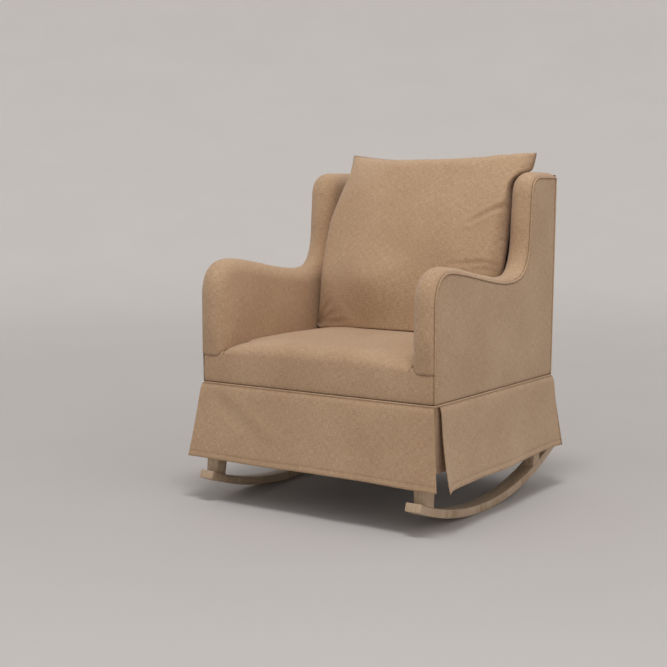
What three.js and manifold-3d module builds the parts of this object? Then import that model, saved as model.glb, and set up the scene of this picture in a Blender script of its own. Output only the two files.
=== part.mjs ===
// A skirted wingback rocking chair for a nursery: a wooden frame on two bent-wood runners,
// a sprung seat, foam padding, fabric covers, a skirt with open corner pleats and a loose back cushion.
// Millimetres, +Z up. The sitter looks along -Y, so the sitter's left is +X.
// The origin is on the floor, under the middle of the chair's outer box.

import * as THREE from 'three';
import { mergeVertices } from 'three/addons/utils/BufferGeometryUtils.js';
import Module from 'manifold-3d';

const wasm = await Module();
wasm.setup();

// ---------------------------------------------------------------- driving dimensions

const GAP = 0.3; // air left between two pieces that touch
const FAR = 2000; // longer than the chair, for cutting blocks

// Body: Y is counted from the front of the upholstery by at()
const FRONT_Y = -355;
const HALF_WIDTH = 370; // to the outside of the piping
const DEPTH = 666; // upholstery front to outside back, at the skirt seam
const BACK_LEAN = 13; // the outside back's top stands this much further back
const SEAM_Z = 325; // seam between body and skirt
const BORDER_Z = 402; // seam between the seat border and the arm fronts
const ARM_Z = 651; // arm seam at its highest
const DIP_Z = 608; // arm seam at its lowest, before the wing
const WING_Z = 888; // wing seam at the top
const PIPING_R = 2.4;

// Arms and wings
const ARM_OUT_X = 365; // outer edge of the band, under the piping
const ARM_IN_X = 298; // inner face
const CROWN = 13; // how far the band stands above its outer seam
const COVER = 2; // fabric and its lining
const PLY = 18;
const PLY_OUT_X = 364.7;
const PLY_INSET = 14; // padding over the edge of the plywood

// Frame
const RAIL_Z = 305; // underside of the seat rails
const RAIL_H = 45;
const RAIL_T = 24;
const FRONT_RAIL_T = 40;
const CORNER_BLOCK = 80; // along each rail
const BACK_T = 20; // rear rail, back posts and back rails
const FRONT_RAIL = 10; // its front face, from the upholstery front
const REAR_RAIL = 639;
const POST_IN_X = 301;
const POST_TOP_Z = 838;
const PLY_IN_X = PLY_OUT_X - PLY;
const RAIL_TOP_Z = RAIL_Z + RAIL_H;

// Seat and back
const SEAT_X = 297.5;
const SEAT_REAR = 558;
const SEAT_EDGE_Z = 441; // top of the seat along its sides
const SEAT_CROWN = 17; // rise to the middle
const SEAT_DIP = 12; // how far its sides are drawn down behind the front edge
const FOAM_Z = 380; // underside of the seat foam
const BACK_LOW_Z = 410;
const BACK_TOP_Z = 900;
const BACK_FOAM_T = 10;

// Runners and legs
const RUNNER_R = 948;
const RUNNER_T = 22.6;
const RUNNER_W = 44;
const RUNNER_OUT_X = 352;
const CONTACT = 306; // where the runner meets the floor, from the upholstery front
const RUNNER_FRONT = -40;
const RUNNER_REAR = 750;
const FLAT_HALF = 62; // half of the level stretch that the chair rests on
const LEGS = {
  front: { low: [-8, 31], high: [8, 48] },
  rear: { low: [595, 632], high: [600, 641] },
};

// Skirt
const SKIRT_TOP_Z = SEAM_Z - 2.7;
const HEM_Z = 120;
const FLARE = 34; // how far the hem stands outside the seam
const SKIRT_T = 3;
const FLAP_HEM_Z = 157;

// Back cushion, in its own frame: X across, Z up its length, Y through its thickness
const CUSHION_W = 586;
const CUSHION_H = 512;
const CUSHION_EDGE = 18; // thickness left at the seam
const CUSHION_TILT = THREE.MathUtils.degToRad(17.5);
const CUSHION_FOOT = [450, 463]; // its bottom seam: from the upholstery front, and height

const at = (fromFront) => FRONT_Y + fromFront;

// ---------------------------------------------------------------- finishes

function finish(color, roughness, metalness = 0) {
  return new THREE.MeshStandardMaterial({ color, roughness, metalness });
}

const FABRIC = () => finish('#ab8a68', 0.95);
const LINING = () => finish('#b59a78', 0.95);
const ASH = () => finish('#b39c80', 0.55);
const BEECH = () => finish('#c49a6c', 0.7);
const PLYWOOD = () => finish('#cfb184', 0.75);
const FOAM = () => finish('#e9dfbf', 0.9);
const FELT = () => finish('#8d8579', 1);
const CAMBRIC = () => finish('#2b2a29', 1);
const STEEL = () => finish('#8f9296', 0.4, 1);
const NYLON = () => finish('#8f7452', 0.5);

// ---------------------------------------------------------------- shape helpers

// Turns a closed geometry's faces outwards, whichever way it was wound
function outward(geometry) {
  const { array } = geometry.attributes.position;
  const index = geometry.index.array;
  const corner = (i) => new THREE.Vector3().fromArray(array, index[i] * 3);
  let volume = 0;
  for (let i = 0; i < index.length; i += 3) {
    volume += corner(i).dot(corner(i + 1).cross(corner(i + 2)));
  }
  if (volume < 0) {
    for (let i = 0; i < index.length; i += 3) {
      [index[i], index[i + 1]] = [index[i + 1], index[i]];
    }
  }
  return geometry;
}

function indexed(positions, index) {
  const geometry = new THREE.BufferGeometry();
  geometry.setAttribute('position', new THREE.Float32BufferAttribute(positions, 3));
  geometry.setIndex(index);
  return geometry;
}

// The triangles that fill a flat ring, wound the way the ring runs
function capTriangles(ring) {
  const span = new THREE.Box3().setFromPoints(ring).getSize(new THREE.Vector3());
  const axes = ['x', 'y', 'z'].sort((a, b) => span[b] - span[a]).slice(0, 2);
  const flat = ring.map((p) => new THREE.Vector2(p[axes[0]], p[axes[1]]));
  const runs = Math.sign(THREE.ShapeUtils.area(flat));
  return THREE.ShapeUtils.triangulateShape(flat, []).map(([a, b, c]) => {
    const turns = Math.sign(THREE.ShapeUtils.area([flat[a], flat[b], flat[c]]));
    return turns === runs ? [a, b, c] : [a, c, b];
  });
}

// A closed skin over rings of equal count, capped at both ends
function loft(rings) {
  const count = rings[0].length;
  const last = (rings.length - 1) * count;
  const index = [];
  for (let start = 0; start < last; start += count) {
    for (let i = 0; i < count; i += 1) {
      const a = start + i;
      const b = start + ((i + 1) % count);
      index.push(a, b, b + count, a, b + count, a + count);
    }
  }
  capTriangles(rings[0]).forEach(([a, b, c]) => index.push(a, c, b));
  capTriangles(rings.at(-1)).forEach(([a, b, c]) => index.push(last + a, last + b, last + c));
  return outward(indexed(rings.flat().flatMap((p) => p.toArray()), index));
}

const ringAtX = (x, outline) => outline.map(([y, z]) => new THREE.Vector3(x, y, z));
const ringAtZ = (z, outline) => outline.map(([x, y]) => new THREE.Vector3(x, y, z));
const prismX = (outline, x0, x1) => loft([ringAtX(x0, outline), ringAtX(x1, outline)]);
const prismZ = (outline, z0, z1) => loft([ringAtZ(z0, outline), ringAtZ(z1, outline)]);

function block([x0, x1], [y0, y1], [z0, z1]) {
  return prismZ([[x0, y0], [x1, y0], [x1, y1], [x0, y1]], z0, z1);
}

function mirrored(geometry) {
  return outward(geometry.clone().scale(-1, 1, 1));
}

function solidOf(geometry) {
  const plain = geometry.clone();
  plain.deleteAttribute('normal');
  plain.deleteAttribute('uv');
  const merged = mergeVertices(plain, 1e-3);
  return new wasm.Manifold(new wasm.Mesh({
    numProp: 3,
    vertProperties: new Float32Array(merged.attributes.position.array),
    triVerts: new Uint32Array(merged.index.array),
  }));
}

function geometryOf(solid) {
  const mesh = solid.getMesh();
  return indexed(Array.from(mesh.vertProperties), Array.from(mesh.triVerts));
}

function cut(geometry, ...tools) {
  return geometryOf(tools.reduce((solid, tool) => solid.subtract(solidOf(tool)), solidOf(geometry)));
}

function join(...geometries) {
  return geometryOf(geometries.map(solidOf).reduce((all, solid) => all.add(solid)));
}

// A round cord along an open [y, z] path at one x, mitred at its corners
function cordInPlane(points, x, radius) {
  const sides = 6;
  const inner = offsetPath(points, -radius);
  return loft(points.map(([y, z], i) => {
    const [ny, nz] = [y - inner[i][0], z - inner[i][1]];
    return Array.from({ length: sides }, (_, k) => {
      const a = (2 * Math.PI * (k + 0.5)) / sides;
      return new THREE.Vector3(x + radius * Math.cos(a), y + ny * Math.sin(a), z + nz * Math.sin(a));
    });
  }));
}

// Moves each point of an open [y, z] path outwards: forwards on a front, up on a top
function offsetPath(points, distance) {
  return points.map(([y, z], i) => {
    const [y0, z0] = points[Math.max(i - 1, 0)];
    const [y1, z1] = points[Math.min(i + 1, points.length - 1)];
    const length = Math.hypot(y1 - y0, z1 - z0);
    return [y - ((z1 - z0) / length) * distance, z + ((y1 - y0) / length) * distance];
  });
}

// ---------------------------------------------------------------- outlines

const backLineAt = (z) => DEPTH + (BACK_LEAN * (z - SEAM_Z)) / (WING_Z - SEAM_Z);
const BACK_SKIN = COVER + GAP;

function pathPoints(path, divisions) {
  return path.getPoints(divisions).map((p) => [at(p.x), p.y]);
}

// The seam of the arm and wing, from the skirt seam at the front to the top of the back
function sideSeam(divisions) {
  const path = new THREE.Path();
  path.moveTo(0, SEAM_Z);
  path.lineTo(0, 560);
  path.bezierCurveTo(0, 615, 22, ARM_Z, 70, ARM_Z);
  path.bezierCurveTo(142, ARM_Z, 305, DIP_Z, 384, DIP_Z);
  path.bezierCurveTo(467, DIP_Z, 512, 625, 516, 744);
  path.lineTo(522, 828);
  path.bezierCurveTo(523, 871, 542, WING_Z, 573, WING_Z);
  path.lineTo(backLineAt(WING_Z) - BACK_SKIN, WING_Z);
  return pathPoints(path, divisions);
}

// The inside back, from the seat up over its rounded top edge
function insideBackSeam() {
  const path = new THREE.Path();
  path.moveTo(564, BACK_LOW_Z);
  path.lineTo(612, 848);
  path.bezierCurveTo(616, 883, 626, BACK_TOP_Z, 650, BACK_TOP_Z);
  path.lineTo(backLineAt(BACK_TOP_Z) - BACK_SKIN, BACK_TOP_Z - 3);
  return pathPoints(path, 5);
}

// Closes an open seam path into an outline that ends a little in front of the outside back
function closedOutline(seam, offset, bottom, rearGap = BACK_SKIN) {
  const path = offsetPath(seam, offset);
  if (bottom < path[0][1] - 1) {
    path.unshift([path[0][0], bottom]);
  } else {
    path[0][1] = bottom;
  }
  path.at(-1)[0] = at(backLineAt(path.at(-1)[1]) - rearGap);
  return [...path, [at(backLineAt(bottom) - rearGap), bottom]];
}

// ---------------------------------------------------------------- arms and wings

const SIDE_SEAM = sideSeam(5);

// The padded arm and wing: a crowned band with a square outer edge and a round inner one
function armBody(shrink, outerX, bottom, rearGap = BACK_SKIN) {
  const sections = [[outerX, 0]];
  for (const angle of [30, 60, 90]) {
    const a = THREE.MathUtils.degToRad(angle);
    sections.push([335 + 30 * Math.cos(a), CROWN * Math.sin(a)]);
  }
  for (const angle of [35, 65, 90]) {
    const a = THREE.MathUtils.degToRad(angle);
    const inner = 335 - ARM_IN_X - shrink;
    sections.push([335 - inner * Math.sin(a), -30 + (30 + CROWN) * Math.cos(a)]);
  }
  const outline = (rise) => closedOutline(SIDE_SEAM, rise - shrink, bottom, rearGap);
  return loft(sections.map(([x, rise]) => ringAtX(x, outline(rise))));
}

// The band's front stops on the seat border, and the rest of the arm on the seat rail
function overBorder(geometry, gap) {
  const border = block([0, FAR], [-FAR, at(FRONT_RAIL)], [0, BORDER_Z + gap]);
  return cut(geometry, border);
}

// The fabric is open at its outer side, its foot and its back, and slit where the back frame passes
function armCover() {
  const hollow = armBody(COVER, ARM_OUT_X + 1, 0, -5);
  const slit = block([0, POST_IN_X], [at(REAR_RAIL - 6), FAR], [0, POST_TOP_Z + 3]);
  return overBorder(cut(armBody(0, ARM_OUT_X, RAIL_TOP_Z + 1), hollow, slit), 0);
}

function plyOutline(grow) {
  return closedOutline(SIDE_SEAM, grow - PLY_INSET, SEAM_Z - 2 - grow, BACK_SKIN - 2 * grow);
}

// The plywood side, with windows cut out of arm and wing to save weight
function sidePanel() {
  const armWindow = block([0, FAR], [at(330), at(600)], [RAIL_TOP_Z + 40, DIP_Z - 60]);
  const wingWindow = block([0, FAR], [at(560), at(625)], [DIP_Z + 20, WING_Z - 75]);
  return cut(prismX(plyOutline(0), PLY_IN_X, PLY_OUT_X), armWindow, wingWindow);
}

function armPad() {
  const ply = prismX(plyOutline(GAP), PLY_IN_X - GAP, FAR);
  const posts = block([0, FAR], [at(REAR_RAIL - 4), FAR], [0, FAR]);
  return overBorder(cut(armBody(COVER + GAP, PLY_OUT_X, RAIL_TOP_Z + GAP), ply, posts), GAP);
}

// The flat outer panel lies inside its piping, and reaches the front edge below the piping
function outsideArmPanel() {
  const x = [ARM_OUT_X + GAP, ARM_OUT_X + 2.3];
  const inset = 2 * PIPING_R + 1.4;
  const panel = prismX(closedOutline(SIDE_SEAM, -inset, SEAM_Z + 3, BACK_SKIN + inset), ...x);
  return join(panel, block(x, [at(0), at(inset + 1)], [SEAM_Z + 3, BORDER_Z - 1]));
}

// The arm's piping: from the seat border over arm and wing, and down the back corner
function armPiping() {
  const seam = offsetPath(SIDE_SEAM, -PIPING_R - GAP).slice(1);
  const corner = seam.at(-1);
  const down = backLineAt(SEAM_Z) - BACK_SKIN - PIPING_R - GAP;
  const turn = 2;
  const points = [
    [seam[0][0], BORDER_Z + 2],
    ...seam.slice(0, -1),
    [corner[0] - PIPING_R - turn, corner[1]],
    [corner[0] - PIPING_R - GAP, corner[1] - turn],
    [at(down), SEAM_Z + PIPING_R + 1],
  ];
  return cordInPlane(points, HALF_WIDTH - PIPING_R, PIPING_R);
}

// ---------------------------------------------------------------- seat

// A block with a crowned top: lower along the sides, rolled over at the front
function crownedSeat(shrink, bottom) {
  const width = 2 * (SEAT_X - shrink);
  const front = shrink;
  const rear = SEAT_REAR;
  const geometry = new THREE.BoxGeometry(width, rear - front, 1, 12, 12, 1);
  const { position } = geometry.attributes;
  for (let i = 0; i < position.count; i += 1) {
    const x = position.getX(i);
    const along = Math.max(0, position.getY(i) / (rear - front) + 0.5);
    const eased = along ** 1.35; // closer rows where the front edge rolls over
    const y = front + eased * (rear - front);
    const side = Math.min(Math.abs(x) / (SEAT_X - shrink), 1);
    const swell = Math.sin(Math.PI * Math.min(0.15 + (0.75 * y) / SEAT_REAR, 0.85));
    const crown = SEAT_CROWN * (1 - side ** 3) * swell;
    const roll = 30 * Math.max(0, 1 - (y - front) / 55) ** 2.2;
    const dip = SEAT_DIP * side ** 4 * Math.sin(Math.PI * Math.min(y / 130, 1));
    const top = SEAT_EDGE_Z + crown - roll - dip - shrink - 6 * side ** 8;
    position.setXYZ(i, x, at(y), position.getZ(i) > 0 ? top : bottom);
  }
  geometry.deleteAttribute('normal');
  geometry.deleteAttribute('uv');
  return outward(mergeVertices(geometry, 1e-3));
}

function seatCover() {
  const hollow = crownedSeat(COVER, 0);
  const openBack = block([-SEAT_X + COVER, SEAT_X - COVER], [at(SEAT_REAR - 5), FAR], [0, SEAT_EDGE_Z - 9]);
  const border = block([-PLY_OUT_X, PLY_OUT_X], [at(0), at(COVER)], [SEAM_Z + 3, BORDER_Z - GAP]);
  return join(cut(crownedSeat(0, RAIL_TOP_Z + 1), hollow, openBack), border);
}

function borderPad() {
  const y = [at(COVER + GAP), at(FRONT_RAIL - GAP)];
  const underSeat = block([-SEAT_X - 1, SEAT_X + 1], [-FAR, FAR], [RAIL_TOP_Z, FAR]);
  return cut(block([-362, 362], y, [SEAM_Z + 5, BORDER_Z - 2]), underSeat);
}

// A sinuous spring: flat bends in one wire, arched up between the front and rear rails
function seatSpring(x) {
  const wire = 2;
  const span = [FRONT_RAIL + 12, REAR_RAIL + 12];
  const bends = 8;
  const places = [];
  for (let i = 0; i <= bends * 4; i += 1) {
    const t = i / (bends * 4);
    const sway = 22 * Math.sin(t * bends * Math.PI);
    const arch = 18 * Math.sin(Math.PI * t);
    const y = at(span[0] + t * (span[1] - span[0]));
    places.push(new THREE.Vector3(x + sway, y, RAIL_TOP_Z + wire + GAP + arch));
  }
  const section = new THREE.Shape().absarc(0, 0, wire, 0, 2 * Math.PI);
  const path = new THREE.CatmullRomCurve3(places);
  return new THREE.ExtrudeGeometry(section, { steps: bends * 4, curveSegments: 2.5, extrudePath: path });
}

// ---------------------------------------------------------------- back

function insideBackBody(shrink, bottom) {
  return prismX(closedOutline(insideBackSeam(), -shrink, bottom), shrink - SEAT_X, SEAT_X - shrink);
}

function insideBackCover() {
  const hollow = prismX(closedOutline(insideBackSeam(), -COVER, 0, -5), COVER - SEAT_X, SEAT_X - COVER);
  const slit = block([-FAR, FAR], [at(REAR_RAIL - 6), FAR], [0, POST_TOP_Z + 3]);
  return cut(insideBackBody(0, BACK_LOW_Z), hollow, slit);
}

// A thin sheet of foam just behind the inside back
function backFoam() {
  const seam = insideBackSeam().map(([y, z]) => [y + BACK_FOAM_T, z]);
  const behind = prismX(closedOutline(seam, 0, 0, -FAR), -FAR, FAR);
  return cut(insideBackBody(COVER + GAP, BACK_LOW_Z), behind);
}

// Elastic straps across and down the back frame, joined where they cross
function backWebbing() {
  const across = [500, 610, 720].map((z) => block([-338, 338], [-1.6, 0], [z, z + 50]));
  const down = [-125, 75].map((x) => block([x, x + 50], [-1.6, 0], [440, POST_TOP_Z - 5]));
  return join(...across, ...down);
}

// ---------------------------------------------------------------- runners and legs

const ARC_STEP = 2 * Math.asin(FLAT_HALF / RUNNER_R);
const ARC_CENTRE_Z = RUNNER_R * Math.cos(ARC_STEP / 2);
const arcAngle = (fromFront) => Math.asin((fromFront - CONTACT) / RUNNER_R);

function arcPoints(radius) {
  const first = arcAngle(RUNNER_FRONT);
  const last = arcAngle(RUNNER_REAR);
  const angles = [first];
  for (let step = -20; step < 20; step += 1) {
    const angle = (step + 0.5) * ARC_STEP;
    if (angle > first + 0.01 && angle < last - 0.01) angles.push(angle);
  }
  angles.push(last);
  return angles.map((a) => [at(CONTACT) + radius * Math.sin(a), ARC_CENTRE_Z - radius * Math.cos(a)]);
}

const RUNNER_BOTTOM = arcPoints(RUNNER_R);
const RUNNER_TOP = arcPoints(RUNNER_R - RUNNER_T);

function runnerTopAt(y) {
  const i = Math.max(1, RUNNER_TOP.findIndex(([place]) => place >= y));
  const [y0, z0] = RUNNER_TOP[i - 1];
  const [y1, z1] = RUNNER_TOP[i];
  return z0 + ((z1 - z0) * (y - y0)) / (y1 - y0);
}

// A countersunk screw up through the runner into the leg, along the runner's radius
function screwSolid(middle, grow) {
  const profile = [[0, 0], [6.5, 0], [6.5, 1], [3, 4.5], [3, 60], [0, 62]];
  const points = profile.map(([r, z]) => new THREE.Vector2(r && r + grow, z ? z + grow : -grow * 10));
  const angle = arcAngle(middle);
  const geometry = new THREE.LatheGeometry(points, 12);
  geometry.rotateX(Math.PI / 2 + angle);
  const depth = RUNNER_R - 1.5;
  geometry.translate(
    RUNNER_OUT_X - RUNNER_W / 2,
    at(CONTACT) + depth * Math.sin(angle),
    ARC_CENTRE_Z - depth * Math.cos(angle),
  );
  return geometry;
}

const legMiddle = (leg) => (leg.low[0] + leg.low[1]) / 2;

function runner() {
  const outline = [...RUNNER_BOTTOM, ...RUNNER_TOP.toReversed()];
  const holes = Object.values(LEGS).map((leg) => screwSolid(legMiddle(leg), GAP));
  return cut(prismX(outline, RUNNER_OUT_X - RUNNER_W, RUNNER_OUT_X), ...holes);
}

function leg({ low, high }) {
  const foot = low.map((fromFront) => [at(fromFront), runnerTopAt(at(fromFront)) + GAP]);
  const head = high.map((fromFront) => [at(fromFront), RAIL_Z - GAP]).reverse();
  const body = prismX([...foot, ...head], RUNNER_OUT_X - RUNNER_W, RUNNER_OUT_X);
  return cut(body, screwSolid(legMiddle({ low }), GAP));
}

// ---------------------------------------------------------------- skirt

// A sheet hanging from its top line to its hem, each [[x, y], [x, y]], as thick as the cloth
function hangingPanel(top, hem, hemZ, thickness) {
  const strip = ([[xa, ya], [xb, yb]]) => {
    const length = Math.hypot(xb - xa, yb - ya);
    const nx = ((yb - ya) / length) * thickness;
    const ny = (-(xb - xa) / length) * thickness;
    return [[xa, ya], [xb, yb], [xb - nx, yb - ny], [xa - nx, ya - ny]];
  };
  return loft([ringAtZ(hemZ, strip(hem)), ringAtZ(SKIRT_TOP_Z, strip(top))]);
}

const PLEAT = 20; // how far the side panels start from the corner

function skirtFront() {
  const top = [[-HALF_WIDTH + 1, at(-1)], [HALF_WIDTH - 1, at(-1)]];
  const hem = [[-HALF_WIDTH - 28, at(-FLARE + 3)], [HALF_WIDTH + 28, at(-FLARE + 3)]];
  return hangingPanel(top, hem, HEM_Z, SKIRT_T);
}

function skirtBack() {
  const top = [[HALF_WIDTH - 1, at(DEPTH + 1)], [-HALF_WIDTH + 1, at(DEPTH + 1)]];
  const hem = [[HALF_WIDTH + 18, at(DEPTH + FLARE - 3)], [-HALF_WIDTH - 18, at(DEPTH + FLARE - 3)]];
  return hangingPanel(top, hem, HEM_Z, SKIRT_T);
}

function skirtSide() {
  const top = [[HALF_WIDTH, at(PLEAT)], [HALF_WIDTH, at(DEPTH - PLEAT)]];
  const hem = [[HALF_WIDTH + FLARE, at(PLEAT)], [HALF_WIDTH + FLARE, at(DEPTH - PLEAT)]];
  return hangingPanel(top, hem, HEM_Z, SKIRT_T);
}

// The underlay that shows in a corner pleat: one strip bent round the corner
function cornerFlap(rear) {
  const reach = 62;
  const angle = (side, front, far) => {
    const thick = 2.4;
    return [
      [far, front], [side, front], [side, front + reach],
      [side - thick, front + reach], [side - thick, front + thick], [far, front + thick],
    ];
  };
  const top = angle(HALF_WIDTH - 4.2, 2, HALF_WIDTH - reach);
  const hem = angle(HALF_WIDTH + 10, -15, HALF_WIDTH - reach + 4);
  const place = ([x, y]) => [x, rear ? at(DEPTH - y) : at(y)];
  return loft([ringAtZ(FLAP_HEM_Z, hem.map(place)), ringAtZ(SKIRT_TOP_Z, top.map(place))]);
}

// The piping in the seam between body and skirt, all the way round
function skirtPiping() {
  const rectangle = (inset, Path) => {
    const x = HALF_WIDTH - inset;
    const y0 = at(inset - 2);
    const y1 = at(DEPTH + 3 - inset);
    const path = new Path();
    path.moveTo(-x, y0).lineTo(x, y0).lineTo(x, y1).lineTo(-x, y1).closePath();
    return path;
  };
  const bevel = 1.4;
  const ring = rectangle(bevel, THREE.Shape);
  ring.holes.push(rectangle(2 * PIPING_R - bevel, THREE.Path));
  const depth = 2 * (PIPING_R - bevel);
  const geometry = new THREE.ExtrudeGeometry(ring, {
    depth, bevelThickness: bevel, bevelSize: bevel, bevelSegments: 1,
  });
  return geometry.translate(0, 0, SEAM_Z - depth / 2);
}

function dustCover() {
  const x = 345;
  const notch = 303;
  const corner = [FRONT_RAIL + 2, LEGS.front.high[1] + 2, LEGS.rear.high[0] - 2, DEPTH - 6].map(at);
  const [front, frontLeg, rearLeg, rear] = corner;
  const half = [
    [notch, front], [notch, frontLeg], [x, frontLeg],
    [x, rearLeg], [notch, rearLeg], [notch, rear],
  ];
  const otherHalf = half.toReversed().map(([px, py]) => [-px, py]);
  return prismZ([...half, ...otherHalf], RAIL_Z - 1.6, RAIL_Z - GAP);
}

// ---------------------------------------------------------------- loose back cushion

// How far the pillow's face stands off its middle plane, at u across and v up it from -1 to 1.
// The front is fuller, and the rear is flatter, where it leans on the chair's back.
function pillowDepth(u, v, front) {
  const fill = ((1 - Math.abs(u) ** (front ? 2.6 : 6)) * (1 - Math.abs(v) ** 2.6)) ** 0.62;
  return CUSHION_EDGE / 2 + (front ? 90 : 24 - 17 * v) * fill;
}

// A knife-edge pillow, its sides pulled in between the corners
function pillow(shrink) {
  const geometry = new THREE.BoxGeometry(CUSHION_W - 2 * shrink, 2, CUSHION_H - 2 * shrink, 12, 1, 10);
  const { position } = geometry.attributes;
  for (let i = 0; i < position.count; i += 1) {
    const u = THREE.MathUtils.clamp(position.getX(i) / (CUSHION_W / 2 - shrink), -1, 1);
    const v = THREE.MathUtils.clamp(position.getZ(i) / (CUSHION_H / 2 - shrink), -1, 1);
    const front = position.getY(i) < 0;
    const y = (pillowDepth(u, v, front) - shrink) * (front ? -1 : 1);
    const pull = 7 * (1 - u * u) * Math.abs(v) ** 6;
    const pullSide = 7 * (1 - v * v) * Math.abs(u) ** 6;
    const x = position.getX(i) - Math.sign(u) * pullSide;
    position.setXYZ(i, x, y, position.getZ(i) - Math.sign(v) * pull);
  }
  geometry.deleteAttribute('normal');
  geometry.deleteAttribute('uv');
  return outward(mergeVertices(geometry, 1e-3));
}

// The zip that opens the cover lies across the back of the cushion, just above the bottom seam
const ZIP = { x: 160, z: 70 - CUSHION_H / 2, half: 7 };

function zipSlot(grow) {
  return block([-ZIP.x - grow, ZIP.x + grow], [0, FAR], [ZIP.z - ZIP.half - grow, ZIP.z + ZIP.half + grow]);
}

function cushionCover() {
  return cut(pillow(0), pillow(COVER), zipSlot(0));
}

// The filled inner bag, as a thick skin with its mass, open where the zip is
function cushionInsert() {
  return cut(pillow(COVER + GAP), pillow(COVER + 6), zipSlot(4));
}

function zipTape() {
  const skin = cut(pillow(0.2), pillow(COVER - 0.2));
  return geometryOf(solidOf(skin).intersect(solidOf(zipSlot(-GAP))));
}

function zipSlider() {
  const y = pillowDepth(0, (ZIP.z + 4) / (CUSHION_H / 2), false) + GAP;
  const x = ZIP.x - 14;
  const puller = block([x - 2.5, x + 2.5], [y + 4, y + 5.2], [ZIP.z - 24, ZIP.z]);
  return join(block([x - 5, x + 5], [y, y + 4.1], [ZIP.z - 4, ZIP.z + 4]), puller);
}

// ---------------------------------------------------------------- assembly

const chair = new THREE.Group();

function add(name, geometry, material, parent = chair) {
  const mesh = new THREE.Mesh(geometry, material);
  mesh.name = name;
  parent.add(mesh);
  return mesh;
}

function addPair(name, geometry, material, parent = chair) {
  add(`${name}_left`, geometry, material(), parent);
  add(`${name}_right`, mirrored(mergeVertices(bare(geometry), 1e-3)), material(), parent);
}

function bare(geometry) {
  const plain = geometry.clone();
  plain.deleteAttribute('normal');
  plain.deleteAttribute('uv');
  return plain;
}

// Rocker base
addPair('runner', runner(), ASH);
for (const [end, shape] of Object.entries(LEGS)) {
  addPair(`${end}_leg`, leg(shape), ASH);
  addPair(`${end}_runner_screw`, screwSolid(legMiddle(shape), 0), STEEL);
}

// Seat frame
const railZ = [RAIL_Z, RAIL_TOP_Z];
const sideRailX = [PLY_IN_X - GAP - RAIL_T, PLY_IN_X - GAP];
const sideRailY = [at(FRONT_RAIL + FRONT_RAIL_T + GAP), at(REAR_RAIL - GAP)];
const crossRailX = [GAP - PLY_IN_X, PLY_IN_X - GAP];
const crossRail = (y, thick) => block(crossRailX, [at(y), at(y + thick)], railZ);
add('front_seat_rail', crossRail(FRONT_RAIL, FRONT_RAIL_T), BEECH());
add('rear_seat_rail', crossRail(REAR_RAIL, BACK_T), BEECH());
addPair('side_seat_rail', block(sideRailX, sideRailY, railZ), BEECH);
const cornerBlocks = [
  ['front', FRONT_RAIL + FRONT_RAIL_T + GAP * 2, CORNER_BLOCK],
  ['rear', REAR_RAIL - GAP * 2, -CORNER_BLOCK],
];
for (const [end, corner, away] of cornerBlocks) {
  const x = PLY_IN_X - RAIL_T - 2 * GAP;
  const triangle = [[x, at(corner)], [x, at(corner + away)], [x - CORNER_BLOCK, at(corner)]];
  addPair(`${end}_corner_block`, prismZ(triangle, RAIL_Z, RAIL_Z + CORNER_BLOCK / 2), BEECH);
}
addPair('side_panel', sidePanel(), PLYWOOD);

// Back frame, leaning with the outside back
const backFrame = new THREE.Group();
backFrame.position.set(0, at(DEPTH), SEAM_Z);
backFrame.rotation.x = -Math.atan2(BACK_LEAN, WING_Z - SEAM_Z);
chair.add(backFrame);
const postX = [POST_IN_X, PLY_IN_X - GAP];
const frameY = [REAR_RAIL - DEPTH, REAR_RAIL + BACK_T - DEPTH];
const betweenPosts = [GAP - POST_IN_X, POST_IN_X - GAP];
const postTop = POST_TOP_Z - SEAM_Z;
addPair('back_post', block(postX, frameY, [RAIL_TOP_Z + 1 - SEAM_Z, postTop]), BEECH, backFrame);
add('back_top_rail', block(betweenPosts, frameY, [postTop - 58, postTop]), BEECH(), backFrame);
add('back_lower_rail', block(betweenPosts, frameY, [97, 147]), BEECH(), backFrame);
const webbing = backWebbing().translate(0, frameY[0] - GAP, -SEAM_Z);
add('back_webbing', webbing, FELT(), backFrame);
const outsideBack = block([-PLY_OUT_X, PLY_OUT_X], [-COVER, 0], [3, BACK_TOP_Z - 4 - SEAM_Z]);
add('outside_back_panel', outsideBack, FABRIC(), backFrame);

// Springs and padding
[-240, -120, 0, 120, 240].forEach((x, i) => add(`seat_spring_${i + 1}`, seatSpring(x), STEEL()));
add('seat_insulator', block([-295, 295], [at(36), at(600)], [FOAM_Z - 4.3, FOAM_Z - GAP]), FELT());
add('seat_foam', crownedSeat(COVER + GAP, FOAM_Z), FOAM());
add('seat_border_pad', borderPad(), FOAM());
addPair('arm_pad', armPad(), FOAM);
add('back_foam', backFoam(), FOAM());

// Covers
add('seat_cover', seatCover(), FABRIC());
addPair('arm_cover', armCover(), FABRIC);
addPair('outside_arm_panel', outsideArmPanel(), FABRIC);
addPair('arm_piping', armPiping(), FABRIC);
add('inside_back_cover', insideBackCover(), FABRIC());
add('dust_cover', dustCover(), CAMBRIC());

// Skirt
add('skirt_piping', skirtPiping(), FABRIC());
add('skirt_front', skirtFront(), FABRIC());
add('skirt_back', skirtBack(), FABRIC());
addPair('skirt_side', skirtSide(), FABRIC);
addPair('front_pleat_flap', cornerFlap(false), LINING);
addPair('rear_pleat_flap', cornerFlap(true), LINING);

// Back cushion
const cushion = new THREE.Group();
const half = CUSHION_H / 2;
cushion.rotation.x = -CUSHION_TILT;
cushion.position.set(
  0,
  at(CUSHION_FOOT[0]) + half * Math.sin(CUSHION_TILT),
  CUSHION_FOOT[1] + half * Math.cos(CUSHION_TILT),
);
chair.add(cushion);
add('cushion_cover', cushionCover(), FABRIC(), cushion);
add('cushion_insert', cushionInsert(), FOAM(), cushion);
add('cushion_zip', zipTape(), NYLON(), cushion);
add('zip_slider', zipSlider(), STEEL(), cushion);

export default chair;
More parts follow.
